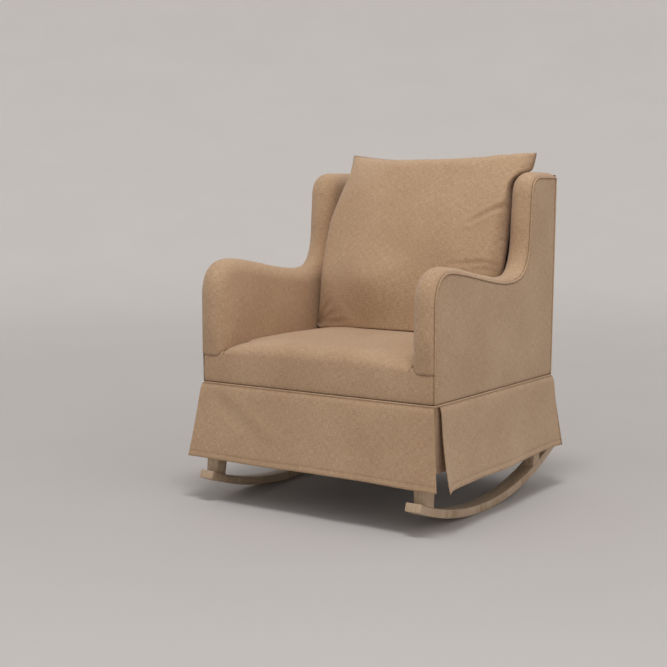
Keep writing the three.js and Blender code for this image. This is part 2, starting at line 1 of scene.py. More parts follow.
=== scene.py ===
# %% [markdown]
# # A skirted nursery rocker
# The chair is built round a packed engineering model, which gives every place and size.
# Here the covers, the skirt, the piping and the loose cushion are made as cloth and padding,
# and the wood gets its rounded edges and its grain.

# %% Load the frame
import math

import bmesh
import bpy
import numpy as np
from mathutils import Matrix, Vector, noise


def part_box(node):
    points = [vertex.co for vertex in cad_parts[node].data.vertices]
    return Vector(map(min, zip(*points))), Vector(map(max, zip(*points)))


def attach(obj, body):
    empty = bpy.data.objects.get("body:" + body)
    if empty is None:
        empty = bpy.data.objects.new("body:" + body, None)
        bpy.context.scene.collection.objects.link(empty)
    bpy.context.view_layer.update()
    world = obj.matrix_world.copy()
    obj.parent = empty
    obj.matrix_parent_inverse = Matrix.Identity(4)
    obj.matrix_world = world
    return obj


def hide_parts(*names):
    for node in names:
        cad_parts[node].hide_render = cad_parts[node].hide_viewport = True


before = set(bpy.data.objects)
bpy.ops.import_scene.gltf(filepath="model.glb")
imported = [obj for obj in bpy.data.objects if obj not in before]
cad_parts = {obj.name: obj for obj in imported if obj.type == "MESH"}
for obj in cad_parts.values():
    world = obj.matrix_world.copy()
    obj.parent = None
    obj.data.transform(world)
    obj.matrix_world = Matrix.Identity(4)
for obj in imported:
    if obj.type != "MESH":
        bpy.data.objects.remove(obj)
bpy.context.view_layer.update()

# %% [markdown]
# ## Places from the frame
# Everything is worked out in millimetres, as a chair maker would, and turned to metres when a mesh
# is made.
# Depth is counted from the front of the upholstery, so that an arm or a wing can be drawn as a side view.

# %% Places
MM = 0.001


def box_mm(name):
    low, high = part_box(name)
    return np.array(low) / MM, np.array(high) / MM


welt_low, welt_high = box_mm("skirt_piping")
piping_low, piping_high = box_mm("arm_piping_left")
arm_low, arm_high = box_mm("arm_cover_left")

FRONT = box_mm("seat_cover")[0][1]
WELT_Z = (welt_low[2] + welt_high[2]) / 2
WELT_X = welt_high[0]
WELT_REAR = welt_high[1] - FRONT
PIPING_R = (piping_high[0] - piping_low[0]) / 2
ARM_OUT = arm_high[0]
ARM_IN = arm_low[0]
CROWN = 13  # how far the padded band stands out from its seam
WING_SEAM_Z = arm_high[2] - CROWN
BORDER_Z = 402
SEAT_X = box_mm("inside_back_cover")[1][0]
PANEL_X = box_mm("outside_arm_panel_left")[1][0]
COVER_CLOTH = 1.6  # the covers' cloth with its backing
PANEL_CLOTH = 1.2
SKIRT_CLOTH = 2.6  # two layers with a lining
FLAP_CLOTH = 2.0
print("upholstery front at", round(FRONT, 1), "mm, welt", round(WELT_Z, 1), "mm high")


def from_front(y):
    return FRONT + y


def hand(side):
    """The sitter's left is on the positive side."""
    return "left" if side > 0 else "right"


# %% [markdown]
# ## Small helpers
# One function adds a shader node with its settings and links. One turns a hex colour into linear light.

# %% Helpers for materials
def linear(hex_code):
    channels = [int(hex_code[i : i + 2], 16) / 255 for i in (1, 3, 5)]
    return tuple(c / 12.92 if c <= 0.04045 else ((c + 0.055) / 1.055) ** 2.4 for c in channels) + (1.0,)


def add(tree, kind, inputs=None, **settings):
    """Adds one node, sets its properties, and fills its inputs with values or other nodes' outputs."""
    made = tree.nodes.new("ShaderNode" + kind)
    for name, value in settings.items():
        setattr(made, name, value)
    for name, value in (inputs or {}).items():
        if isinstance(value, bpy.types.NodeSocket):
            tree.links.new(value, made.inputs[name])
        else:
            made.inputs[name].default_value = value
    return made


def new_material(name, **shader):
    """A material with one Principled shader, whose constants are set on its own sockets."""
    made = bpy.data.materials.new(name)
    made.use_nodes = True
    tree = made.node_tree
    principled = tree.nodes["Principled BSDF"]
    for key, value in shader.items():
        principled.inputs[key.replace("_", " ")].default_value = value
    return made, tree, principled


def ramp(tree, factor, *stops):
    """A colour ramp through hex colours, each with its place."""
    made = add(tree, "ValToRGB", {"Fac": factor})
    elements = made.color_ramp.elements
    while len(elements) < len(stops):
        elements.new(0.5)
    for element, (place, hex_code) in zip(elements, stops):
        element.position = place
        element.color = linear(hex_code)
    return made.outputs["Color"]


def mix(tree, kind, factor, a, b):
    made = add(tree, "Mix", data_type="RGBA", blend_type=kind)
    for socket, value in ((made.inputs[0], factor), (made.inputs[6], a), (made.inputs[7], b)):
        if isinstance(value, bpy.types.NodeSocket):
            tree.links.new(value, socket)
        else:
            socket.default_value = value
    return made.outputs[2]


def math_node(tree, operation, a, b=0.0, clamp=False):
    made = add(tree, "Math", {0: a, 1: b}, operation=operation, use_clamp=clamp)
    return made.outputs[0]


# %% [markdown]
# ## The upholstery fabric
# It is a plain-woven linen-look cloth, piece-dyed tan, with slubs in both yarns and a soft brushed nap.
# The eye sees a matt cloth with a faint heather, and a light edge where the nap catches the light.
# A real yarn is about 0.8 mm, which is finer than a render this size can show, so it is drawn at 1.6 mm.
# Each cloth piece carries a map called "cloth", measured in metres along its warp and weft, so that the
# weave follows the cloth over an arm and not the chair's outside. Beside a seam the cloth dips to the
# stitches and less light reaches it, which the "seam" attribute marks from 0 to 1. This shade is
# painted into the cloth's colour, and the same attribute carries painted shade for creases and folds.

# %% Linen
YARN = 1.6 * MM


def woven(name, light, middle, dark, turn=0.0, yarn=YARN, depth=0.25):
    """A plain weave: two sets of yarns over and under each other, with slubs and a heather."""
    made, tree, shader = new_material(
        name, Roughness=0.88, IOR=1.46, Specular_IOR_Level=0.22, Sheen_Weight=0.2, Sheen_Roughness=0.6
    )
    cloth = add(tree, "UVMap", uv_map="cloth")
    turned = add(tree, "Mapping", {"Vector": cloth.outputs[0], "Rotation": (0, 0, turn)}).outputs[0]
    bands = 1 / yarn / 20 * math.pi  # a Wave texture has one band in 0.314 of its own units
    uneven = {"Vector": turned, "Scale": bands, "Distortion": 1.2, "Detail": 1, "Detail Scale": 0.6}
    warp = add(tree, "TexWave", uneven, bands_direction="X").outputs["Fac"]
    weft = add(tree, "TexWave", uneven, bands_direction="Y").outputs["Fac"]
    over = math_node(tree, "MAXIMUM", warp, weft)
    slubs = []
    for stretch in ((620, 70, 1), (70, 620, 1)):  # a slub is about 1.6 mm across and 14 mm long
        along = add(tree, "Mapping", {"Vector": turned, "Scale": stretch}).outputs[0]
        slub = add(tree, "TexNoise", {"Vector": along, "Scale": 1.0, "Detail": 2.0, "Roughness": 0.6})
        slubs.append(slub.outputs["Fac"])
    yarns = math_node(tree, "ADD", slubs[0], slubs[1])
    yarns = math_node(tree, "MULTIPLY", yarns, 0.5)
    tone = ramp(tree, yarns, (0.40, dark), (0.5, middle), (0.60, light))
    place = add(tree, "TexCoord").outputs["Object"]
    worn = 6.0  # patches of rubbed nap to the metre
    clouds = add(tree, "TexNoise", {"Vector": place, "Scale": worn, "Detail": 3.0}).outputs["Fac"]
    cloudy = ramp(tree, clouds, (0.3, "#e9e3dc"), (0.7, "#ffffff"))
    tone = mix(tree, "MULTIPLY", 0.7, tone, cloudy)
    gaps = ramp(tree, over, (0.1, "#c3b7aa"), (0.6, "#ffffff"))
    tone = mix(tree, "MULTIPLY", 0.4, tone, gaps)
    # painted shade: the colour darkens towards a deep brown where the "seam" attribute marks shade beside
    # seams, in creases and in folds
    seam = add(tree, "Attribute", attribute_name="seam").outputs["Fac"]
    tone = mix(tree, "MULTIPLY", math_node(tree, "MULTIPLY", seam, 0.6), tone, linear("#8a6a4c"))
    tree.links.new(tone, shader.inputs["Base Color"])
    height = math_node(tree, "ADD", over, yarns)
    bump = add(tree, "Bump", {"Height": height, "Strength": depth, "Distance": 0.6 * MM})
    tree.links.new(bump.outputs[0], shader.inputs["Normal"])
    return made


linen = woven("linen_plain_weave_tan", "#cdb093", "#c2a383", "#b49474")
# painted light: the piping's cloth is set a little lighter than the linen, standing in for the light its
# round cord catches
linen_bias_painted_lighter = woven(
    "linen_bias_cut_over_cord_painted_lighter", "#d1b496", "#c6a787", "#b89878", turn=math.radians(45), depth=0.35
)
# painted shade: the pleat underlay's cloth is set darker than the linen, standing in for the shade behind
# the pleats
linen_lined_painted_shade = woven("linen_lined_underlay_painted_shade", "#c4a484", "#b79676", "#a88667")
print("linen yarn drawn at", YARN / MM, "mm")

# %% [markdown]
# ## The woods
# The legs and the bent runners are ash under a thin white wash and a matt oil: pale, open-grained, with a
# faint figure. The runners are bent from plies of about 4 mm, which show as fine lines on their sides.
# The hidden frame is planed beech, with short darker flecks, and birch plywood.

# %% Woods
PLY = 4.05 * MM


def wood(name, pale, middle, deep, grain_axis=None, grain=1.6, roughness=0.55, fleck=0.0):
    """Long grain: growth rings as stretched noise, with fine pores over them. It runs along one of the
    chair's axes, or, with no axis, along the length in the piece's own "cloth" map."""
    made, tree, shader = new_material(name, Roughness=roughness, IOR=1.5, Specular_IOR_Level=0.4)
    mapped = add(tree, "UVMap", uv_map="cloth") if grain_axis is None else add(tree, "TexCoord")
    place = mapped.outputs["UV" if grain_axis is None else "Object"]
    across, along = 1 / (grain * MM * 4), 1 / (90 * MM)
    scale = [across] * 3
    scale[1 if grain_axis is None else grain_axis] = along
    rings = add(tree, "Mapping", {"Vector": place, "Scale": scale}).outputs[0]
    growth = {"Vector": rings, "Scale": 1.0, "Detail": 4.0, "Roughness": 0.55, "Distortion": 0.4}
    figure = add(tree, "TexNoise", growth).outputs["Fac"]
    scale = [s * 3.5 for s in scale]
    pores = add(tree, "Mapping", {"Vector": place, "Scale": scale}).outputs[0]
    pore = add(tree, "TexNoise", {"Vector": pores, "Scale": 1.0, "Detail": 2.0}).outputs["Fac"]
    tone = ramp(tree, figure, (0.3, deep), (0.5, middle), (0.72, pale))
    lines = ramp(tree, pore, (0.33, "#c9bba8"), (0.5, "#ffffff"))
    tone = mix(tree, "MULTIPLY", 0.5 + fleck, tone, lines)
    tree.links.new(tone, shader.inputs["Base Color"])
    bump = add(tree, "Bump", {"Height": pore, "Strength": 0.12, "Distance": 0.3 * MM})
    tree.links.new(bump.outputs[0], shader.inputs["Normal"])
    return made, tree, shader, tone


ash = wood("ash_whitewashed_matt_oil", "#cbb49c", "#c0a88e", "#b2987d")[0]
beech = wood("beech_planed", "#cfa678", "#c3976a", "#ad8054", grain_axis=0, roughness=0.62, fleck=0.2)[0]
plywood = wood(
    "birch_plywood", "#d9bf95", "#ceb185", "#bb9b6e", grain_axis=2, grain=3.0, roughness=0.68
)[0]

# %% [markdown]
# ## The runners' laminated ash
# The plies of a bent runner follow its arc, so the glue lines are drawn by the distance from the centre.

# %% Laminated ash
RUNNER_CONTACT = 306
RUNNER_R = 946
RUNNER_T = 22.6
RUNNER_W = 44
RUNNER_OUT = 352
OUTER_PLY = 3.2  # the outer plies are planed thinner


def laminated_ash():
    made, tree, shader, tone = wood("ash_bent_laminated_matt_oil", "#cbb49c", "#c0a88e", "#b2987d")
    place = add(tree, "TexCoord").outputs["Object"]
    centre = (0, from_front(RUNNER_CONTACT) * MM, RUNNER_R * MM)
    spoke = add(tree, "VectorMath", {0: place, 1: centre}, operation="SUBTRACT").outputs[0]
    flat = add(tree, "VectorMath", {0: spoke, 1: (0, 1, 1)}, operation="MULTIPLY").outputs[0]
    radius = add(tree, "VectorMath", {0: flat}, operation="LENGTH").outputs["Value"]
    depth = math_node(tree, "SUBTRACT", (RUNNER_R - OUTER_PLY) * MM, radius)
    ply = math_node(tree, "FRACT", math_node(tree, "DIVIDE", depth, PLY))
    edge = math_node(tree, "ABSOLUTE", math_node(tree, "SUBTRACT", ply, 0.5))
    glue = ramp(tree, edge, (0.40, "#ffffff"), (0.47, "#a58a68"), (0.5, "#8f7353"))
    tone = mix(tree, "MULTIPLY", 0.45, tone, glue)
    tree.links.new(tone, shader.inputs["Base Color"])
    return made


ash_bent = laminated_ash()


# %% [markdown]
# ## The hidden materials
# Springs are oiled steel wire, screws are zinc plated, and the padding is open-cell foam. A felt sheet
# keeps the springs from wearing it. They hardly show with the covers on, but each has its own surface.

# %% Foam, felt, steel and tapes
def grainy(name, light, dark, size, roughness, strength=0.3, **shader):
    """A surface whose colour and relief come from grains of one size, in millimetres."""
    made, tree, principled = new_material(name, Roughness=roughness, **shader)
    place = add(tree, "TexCoord").outputs["Object"]
    grain = {"Vector": place, "Scale": 1 / (size * MM), "Detail": 3.0}
    grains = add(tree, "TexNoise", grain).outputs["Fac"]
    tree.links.new(ramp(tree, grains, (0.35, dark), (0.65, light)), principled.inputs["Base Color"])
    bump = add(tree, "Bump", {"Height": grains, "Strength": strength, "Distance": 0.4 * MM})
    tree.links.new(bump.outputs[0], principled.inputs["Normal"])
    return made


foam = grainy("polyurethane_foam_cream", "#efe6c9", "#dccfa8", 2.0, 0.95, 0.5, IOR=1.5)
cambric = grainy("cotton_cambric_white", "#ece8df", "#dcd6ca", 1.2, 0.9, 0.3, IOR=1.5)
felt = grainy("needled_felt_grey", "#958d82", "#6f685f", 3.0, 0.97, 0.6, IOR=1.5)
webbing = grainy("elastic_webbing_brown", "#7a6750", "#5d4d3a", 2.5, 0.85, 0.5, IOR=1.5)
dust_cloth = grainy("nonwoven_dust_cloth_black", "#2c2b2a", "#1c1b1b", 1.5, 0.92, 0.4, IOR=1.5)
zip_tape = grainy("polyester_zip_tape_tan", "#8f7452", "#755c3f", 1.0, 0.8, 0.4, IOR=1.5)
spring_steel = grainy("spring_steel_oiled", "#8b8e92", "#6c6f73", 8.0, 0.38, 0.05, Metallic=1.0)
zinc = grainy("steel_zinc_plated", "#b4b7b8", "#989b9d", 3.0, 0.32, 0.05, Metallic=1.0)

# %% [markdown]
# ## Helpers for cloth
# A cloth piece is a grid of points, one row after another, like a pattern piece pinned at regular places.
# The grid gives clean quads that follow the weave, and its own lengths give the map for the weave.

# %% Helpers for meshes
def lay_map(mesh, coordinates):
    """Writes the weave's map from one (u, v) in millimetres for each vertex."""
    layer = mesh.uv_layers.new(name="cloth")
    corners = np.empty(len(mesh.loops), dtype=np.int32)
    mesh.loops.foreach_get("vertex_index", corners)
    layer.data.foreach_set("uv", (np.asarray(coordinates)[corners] * MM).astype(np.float32).ravel())


def new_piece(name, points, faces, material, body, replaced=(), coordinates=None, seam=None):
    """Makes a piece from millimetres, and says what it rides on, what it stands for and its finish."""
    mesh = bpy.data.meshes.new(name)
    mesh.from_pydata((np.asarray(points) * MM).tolist(), [], faces)
    mesh.validate()
    if coordinates is not None:
        lay_map(mesh, coordinates)
    if seam is not None:
        shade = mesh.attributes.new("seam", "FLOAT", "POINT")
        shade.data.foreach_set("value", np.clip(seam, 0, 1).astype(np.float32).ravel())
    mesh.polygons.foreach_set("use_smooth", [True] * len(mesh.polygons))
    made = bpy.data.objects.new(name, mesh)
    bpy.context.scene.collection.objects.link(made)
    mesh.materials.append(material)
    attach(made, body)
    if replaced:
        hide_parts(*replaced)
    print(f"{name}: {len(mesh.vertices)} points")
    return made


def grid_faces(rows, columns, keep=None, around=False):
    faces = []
    last = columns if around else columns - 1
    for r in range(rows - 1):
        for c in range(last):
            if keep is None or keep(r, c):
                a, b = r * columns + c, r * columns + (c + 1) % columns
                faces.append((a, b, b + columns, a + columns))
    return faces


def arc_map(grid):
    """Lengths along the grid's middle row and middle column, in millimetres."""
    rows, columns = grid.shape[:2]
    middle = grid[rows // 2], grid[:, columns // 2]
    runs = [np.r_[0, np.cumsum(np.linalg.norm(np.diff(line, axis=0), axis=1))] for line in middle]
    u, v = np.meshgrid(runs[0], runs[1])
    return np.stack([u, v], axis=2).reshape(-1, 2)


def thicken(piece, millimetres, offset=-1.0):
    """Gives the cloth its thickness behind its face."""
    made = piece.modifiers.new("cloth thickness", "SOLIDIFY")
    made.thickness = millimetres * MM
    made.offset = offset
    made.use_even_offset = True
    return made


def turn_outwards(piece):
    mesh = bmesh.new()
    mesh.from_mesh(piece.data)
    bmesh.ops.recalc_face_normals(mesh, faces=mesh.faces)
    mesh.to_mesh(piece.data)
    mesh.free()


def resample(points, step):
    """The same line with points at equal steps, and how far along it each one is."""
    points = np.asarray(points, dtype=float)
    run = np.r_[0, np.cumsum(np.linalg.norm(np.diff(points, axis=0), axis=1))]
    lengths = np.linspace(0, run[-1], max(2, int(round(run[-1] / step)) + 1))
    placed = [np.interp(lengths, run, points[:, k]) for k in range(points.shape[1])]
    return np.stack(placed, axis=1), lengths


def bezier(start, pull, push, end, count=40):
    t = np.linspace(0, 1, count)[:, None]
    start, pull, push, end = (np.array(p, dtype=float) for p in (start, pull, push, end))
    return start * (1 - t) ** 3 + 3 * pull * t * (1 - t) ** 2 + 3 * push * t**2 * (1 - t) + end * t**3


def ease(t):
    t = np.clip(t, 0, 1)
    return t * t * (3 - 2 * t)


def drift(points, size, seed):
    """Smooth noise from -1 to 1 at each point, with lumps of this size in millimetres."""
    shift = Vector((seed * 3.7, seed * 1.3, seed * 7.1))
    return np.array([noise.noise(Vector(p) / size + shift) for p in np.asarray(points, dtype=float)])


# %% [markdown]
# ## The side seam
# One line gives the chair its character: up the arm's front, over the arm, down to a low dip and up into
# the wing. Seen from the side it is a few smooth curves, and the piping, the padded band and both side
# panels all follow it.

# %% Side seam
def back_line(z):
    """The outside back's distance from the front at one height: it leans back a little."""
    return WELT_REAR - 3 + 13 * (z - WELT_Z) / (WING_SEAM_Z - WELT_Z)


ARM_TOP_Z = 651
DIP_Z = 608
SEAM_KNOTS = [
    np.array([(0, BORDER_Z), (0, 560)], dtype=float),
    bezier((0, 560), (0, 615), (22, ARM_TOP_Z), (70, ARM_TOP_Z)),
    bezier((70, ARM_TOP_Z), (142, ARM_TOP_Z), (305, DIP_Z), (384, DIP_Z)),
    bezier((384, DIP_Z), (467, DIP_Z), (512, 625), (516, 744)),
    np.array([(516, 744), (522, 828)], dtype=float),
    bezier((522, 828), (523, 871), (542, WING_SEAM_Z), (573, WING_SEAM_Z)),
    np.array([(573, WING_SEAM_Z), (back_line(WING_SEAM_Z) - 2.3, WING_SEAM_Z)], dtype=float),
]
joined = np.concatenate([SEAM_KNOTS[0]] + [part[1:] for part in SEAM_KNOTS[1:]])
side_seam, seam_run = resample(joined, 6.0)
tangent = np.gradient(side_seam, axis=0)
tangent /= np.linalg.norm(tangent, axis=1)[:, None]
seam_out = np.stack([-tangent[:, 1], tangent[:, 0]], axis=1)
print("side seam", round(seam_run[-1]), "mm long from the seat border to the back")


def fan(stations, knots):
    """For each place on the seam, the point inside the panel that its grid line runs to."""
    nearest = [np.argmin(np.linalg.norm(side_seam - np.array(seam), axis=1)) for seam, _ in knots]
    lengths = seam_run[nearest]
    inside = np.array([point for _, point in knots], dtype=float)
    return np.stack([np.interp(stations, lengths, inside[:, k]) for k in (0, 1)], axis=1)


# %% [markdown]
# ## Padded arms and wings
# Foam over plywood gives a band about 65 mm wide with a round shoulder on its inner side. The cover runs
# from the piping over the band and down the inside in one piece. It is lofted from the seam, because its
# width is the same all along, and the foam's unevenness is added as slow noise of about a millimetre.

# %% Arms and wings
BAND_MIDDLE = 335
SEAM_SHADE = 4.0  # how far the painted shade beside a seam reaches
MIDDLE_ROW = 60  # a row of the cover on the arm's straight part


def border_top(x):
    """The seam between seat border and arm front curves up at the arm's inner corner."""
    return BORDER_Z + 13 * ease((ARM_IN + 22 - np.abs(x)) / 24)


def arm_cover(side):
    outer = [(ARM_OUT + 1.0, -3.0), (ARM_OUT + 0.3, -1.2)]
    for a in np.radians(np.linspace(9, 90, 9)):
        outer.append((BAND_MIDDLE + 30 * math.cos(a), CROWN * math.sin(a)))
    reach = BAND_MIDDLE - ARM_IN
    for a in np.radians(np.linspace(9, 90, 11)):
        outer.append((BAND_MIDDLE - reach * math.sin(a), -30 + (30 + CROWN) * math.cos(a)))
    inside = fan(seam_run, [
        ((0, BORDER_Z), (36, 356)), ((0, 560), (60, 356)), ((70, ARM_TOP_Z), (120, 356)),
        ((384, DIP_Z), (430, 356)), ((512, 690), (630, 400)), ((522, 828), (655, 640)),
        ((573, WING_SEAM_Z), (664, 800)), (tuple(side_seam[-1]), (back_line(840) - 4, 846)),
    ])
    columns = []
    thin = 0.25 + 0.75 * ease(seam_run / 90)[:, None]  # the padding thins out down to the seat border
    thin *= 0.2 + 0.8 * ease((seam_run[-1] - seam_run) / 14)[:, None]  # and at the back corner
    for x, rise in outer:
        yz = side_seam + seam_out * rise * (thin if rise > 0 else 1)
        columns.append(np.column_stack([np.full(len(yz), x), yz]))
    edge = columns[-1]
    steps = 20
    for k in range(1, steps + 1):
        t = k / steps
        yz = edge[:, 1:] * (1 - t) + inside * t
        puff = 2.0 * math.sin(math.pi * min(1, t * 1.4)) if t < 0.71 else 0
        columns.append(np.column_stack([np.full(len(yz), ARM_IN - puff), yz]))
    grid = np.stack(columns, axis=1)
    rows, count = grid.shape[:2]
    band = np.arange(count) < len(outer)
    # the band's foot turns under where it meets the seat border
    z = grid[:, :, 2]
    x = grid[:, :, 0]
    front = (seam_run[:, None] < 60) & band[None, :]
    lifted = z + (border_top(x) - BORDER_Z) * np.clip(1 - (z - BORDER_Z) / 46, 0, 1)
    grid[:, :, 2] = np.where(front, lifted, z)
    tuck = 1.2 * np.clip(1 - seam_run / 7, 0, 1) ** 2
    grid[:, :, 1] += np.where(band[None, :], tuck[:, None], 0)
    flat = grid.reshape(-1, 3).copy()
    lump = (drift(flat, 90, 1 + side) * 1.3 + drift(flat, 34, 4 + side) * 0.45).reshape(rows, count)
    weight = np.interp(np.arange(count), [1, 6, len(outer) + 12, count], [0, 1, 0.6, 0])
    weight = weight * ease(seam_run / 40)[:, None]
    out = np.stack([np.zeros(rows), seam_out[:, 0], seam_out[:, 1]], axis=1)
    crown_part = np.interp(np.arange(count), [0, 10, 16, 22], [0.4, 1, 0.4, 0])
    grid += out[:, None, :] * (lump * weight * crown_part)[:, :, None]
    grid[:, :, 0] -= lump * weight * (1 - crown_part)
    across = np.r_[0, np.cumsum(np.linalg.norm(np.diff(grid[MIDDLE_ROW], axis=0), axis=1))]
    u, v = np.meshgrid(across, seam_run)
    coordinates = np.stack([u, v], axis=2)
    planar = np.stack([grid[:, :, 1], grid[:, :, 2]], axis=2)
    blend = np.arange(count) >= len(outer)
    coordinates[:, blend] = planar[:, blend]
    grid[:, :, 0] *= side
    grid[:, :, 1] += FRONT
    # painted shade for the cloth's colour, darkest at the piping seam
    seam = (1 - across / SEAM_SHADE)[None, :] * np.ones((rows, 1))
    piece = new_piece(
        "arm_and_wing_cover_" + hand(side), grid.reshape(-1, 3), grid_faces(rows, count), linen, "chair",
        ["arm_cover_" + hand(side), "arm_pad_" + hand(side)],
        coordinates.reshape(-1, 2), seam,
    )
    if side > 0:
        piece.data.flip_normals()
    thicken(piece, COVER_CLOTH)


for side in (1, -1):
    arm_cover(side)

# %% [markdown]
# ## The tight seat and its border
# The seat cover is pulled over a crowned foam, rolls over the front edge and runs down to the welt as one
# piece. Under the arms it goes on sideways as a narrow border. Its sides dive into the crease beside the
# arms, where the fabric is pulled down and tacked to the rails.

# %% Seat
SEAT_EDGE_Z = 441
SEAT_CROWN = 17
SEAT_DIP = 12
SEAT_REAR = 558
ROLL_DEPTH = 60


def seat_top(x, y):
    side = np.clip(np.abs(x) / SEAT_X, 0, 1)
    swell = np.sin(np.pi * np.minimum(0.15 + 0.75 * y / SEAT_REAR, 0.85))
    dip = SEAT_DIP * side**4 * np.sin(np.pi * np.minimum(y / 130, 1))
    return SEAT_EDGE_Z + SEAT_CROWN * (1 - side**3) * swell - 6 * side**8 - dip


def seat_cover():
    xs = np.concatenate([
        [-ARM_OUT - 0.6, -ARM_OUT - 0.2, -ARM_OUT + 1.4], np.linspace(-ARM_OUT + 5, -SEAT_X - 5, 9),
        [-SEAT_X - 1, -SEAT_X + 0.2, -SEAT_X + 1.2, -SEAT_X + 4, -SEAT_X + 9],
    ])
    xs = np.concatenate([xs, np.linspace(-SEAT_X + 17, SEAT_X - 17, 62), -xs[::-1]])
    low = WELT_Z + PIPING_R
    face = np.array([0, 0.025, 0.07, 0.16, 0.28, 0.42, 0.56, 0.7, 0.83, 0.93, 0.972, 1.0])
    inner = np.abs(xs) < SEAT_X
    rows = []
    for t in face:  # up the front face
        top = np.where(inner, 404.0, border_top(xs))
        z = low + 1 + (top - low - 1) * t
        y = -2.2 * math.sin(math.pi * min(1, 0.12 + 0.86 * t)) + 3.5 * np.clip(1 - t / 0.09, 0, 1) ** 2
        rows.append(np.column_stack([xs, np.broadcast_to(y, xs.shape), z]))
    for t in np.linspace(0, 1, 16)[1:]:  # over the rolled front edge, with a ledge under each arm's front
        a = t * math.pi / 2
        height = seat_top(xs, np.full_like(xs, ROLL_DEPTH))
        y = np.where(inner, ROLL_DEPTH * (1 - math.cos(a)), 1.4 + 36 * t)
        z = np.where(inner, 404 + (height - 404) * math.sin(a) ** 0.92, border_top(xs) + 0.2)
        rows.append(np.column_stack([xs, y, z]))
    for y in np.linspace(ROLL_DEPTH, SEAT_REAR, 52)[1:]:
        rows.append(np.column_stack([xs, np.full_like(xs, y), seat_top(xs, np.full_like(xs, y))]))
    grid = np.stack(rows)
    count_rows, count = grid.shape[:2]
    x, y, z = grid[:, :, 0], grid[:, :, 1], grid[:, :, 2]
    on_top = (np.arange(count_rows) >= 12)[:, None]
    crease = 12 * np.clip(1.2 - (SEAT_X - np.abs(x)), 0, 1) * ease(y / 25)
    grid[:, :, 2] = np.where(on_top & inner[None, :], z - crease, z)
    # the border's top edge turns in under the arm front
    row = np.arange(count_rows)[:, None]
    under_arm = ~inner[None, :] & (row >= 9) & (row < 12)
    grid[:, :, 1] += np.where(under_arm, 1.4 * ((row - 9) / 2.0) ** 2, 0)
    # the border's ends turn round the corner posts
    end = np.clip((np.abs(x) - ARM_OUT + 5) / 5.6, 0, 1)
    grid[:, :, 1] += 4.5 * end**2.2
    # soft unevenness of the foam, and slack that runs in from the arms
    points = grid.reshape(-1, 3)
    lump = (drift(points, 120, 11) * 2.2 + drift(points, 45, 12) * 0.6).reshape(count_rows, count)
    calm = np.clip((SEAT_X - np.abs(x)) / 30, 0, 1) * inner[None, :]
    grid[:, :, 2] += np.where(on_top, lump * calm, 0)
    grid[:, :, 1] += np.where(on_top, 0, lump * 0.45 * np.clip((row - 1) / 3, 0, 1))

    def keep(r, c):
        return r < 26 or (inner[c] and inner[c + 1])

    faces = grid_faces(count_rows, count, keep)
    coordinates = arc_map(grid)
    used = sorted({v for f in faces for v in f})
    renumber = {v: i for i, v in enumerate(used)}
    faces = [tuple(renumber[v] for v in f) for f in faces]
    points = grid.reshape(-1, 3)[used]
    points[:, 1] += FRONT
    # painted shade for the cloth's colour: just above the welt and in the crease beside each arm
    welt_seam_shade = np.clip(1 - (z - low) / SEAM_SHADE, 0, 1)
    crease_shade_beside_arm = np.where(on_top & inner[None, :], np.clip(1 - (SEAT_X - np.abs(x)) / 9.0, 0, 1), 0)
    seam = np.maximum(welt_seam_shade, crease_shade_beside_arm * 0.8).reshape(-1)[used]
    piece = new_piece(
        "seat_cover_with_border", points, faces, linen, "chair", ["seat_cover"],
        coordinates[used], seam,
    )
    thicken(piece, COVER_CLOTH)


seat_cover()

# %% [markdown]
# ## The inside back
# A thin padded panel leans back behind the cushion and rolls over the top of the frame between the wings.

# %% Inside back
def inside_back():
    profile = np.concatenate([
        np.array([(564, 414), (612, 848)], dtype=float),
        bezier((612, 848), (616, 883), (626, 900), (650, 900))[1:],
        np.array([(back_line(900) - 4, 897.5), (back_line(900) - 2.6, 892)], dtype=float),
    ])
    profile, run = resample(profile, 8.0)
    xs = np.concatenate([
        [-SEAT_X, -SEAT_X + 1.3, -SEAT_X + 4],
        np.linspace(-SEAT_X + 12, SEAT_X - 12, 56),
        [SEAT_X - 4, SEAT_X - 1.3, SEAT_X],
    ])
    away = np.stack([-np.gradient(profile, axis=0)[:, 1], np.gradient(profile, axis=0)[:, 0]], axis=1)
    away /= np.linalg.norm(away, axis=1)[:, None]
    sink = -9 * np.clip(1.3 - (SEAT_X - np.abs(xs)), 0, 1)
    puff = 1.5 * np.cos(np.clip(np.abs(xs) / SEAT_X, 0, 1) * math.pi / 2)
    top_only = ease((run - 380) / 60)
    grid = np.zeros((len(profile), len(xs), 3))
    grid[:, :, 0] = xs
    full = np.minimum(1, (run[-1] - run) / 60) * np.where(run > 60, 1, 0)
    rise = sink[None, :] + puff[None, :] * full[:, None]
    grid[:, :, 1] = profile[:, :1] + away[:, :1] * rise + FRONT
    grid[:, :, 2] = profile[:, 1:] + away[:, 1:] * rise
    uneven = drift(grid.reshape(-1, 3), 80, 21).reshape(grid.shape[:2]) * 0.9
    grid[:, :, 2] += uneven * top_only[:, None]
    piece = new_piece(
        "inside_back_padded", grid.reshape(-1, 3), grid_faces(*grid.shape[:2]), linen, "chair",
        ["inside_back_cover"], arc_map(grid),
    )
    thicken(piece, COVER_CLOTH)


inside_back()

# %% [markdown]
# ## The outside panels
# The sides and the back are plain cloth stretched over the frame, flat but for a slight fullness, and
# turned in at every edge where the piping holds them.

# %% Outside panels
TURNING = 12


def turned_in(distance, depth=2.6, reach=7.0):
    """How far a panel's face sinks at this distance from its sewn edge."""
    return depth * np.clip(1 - distance / reach, 0, 1) ** 2


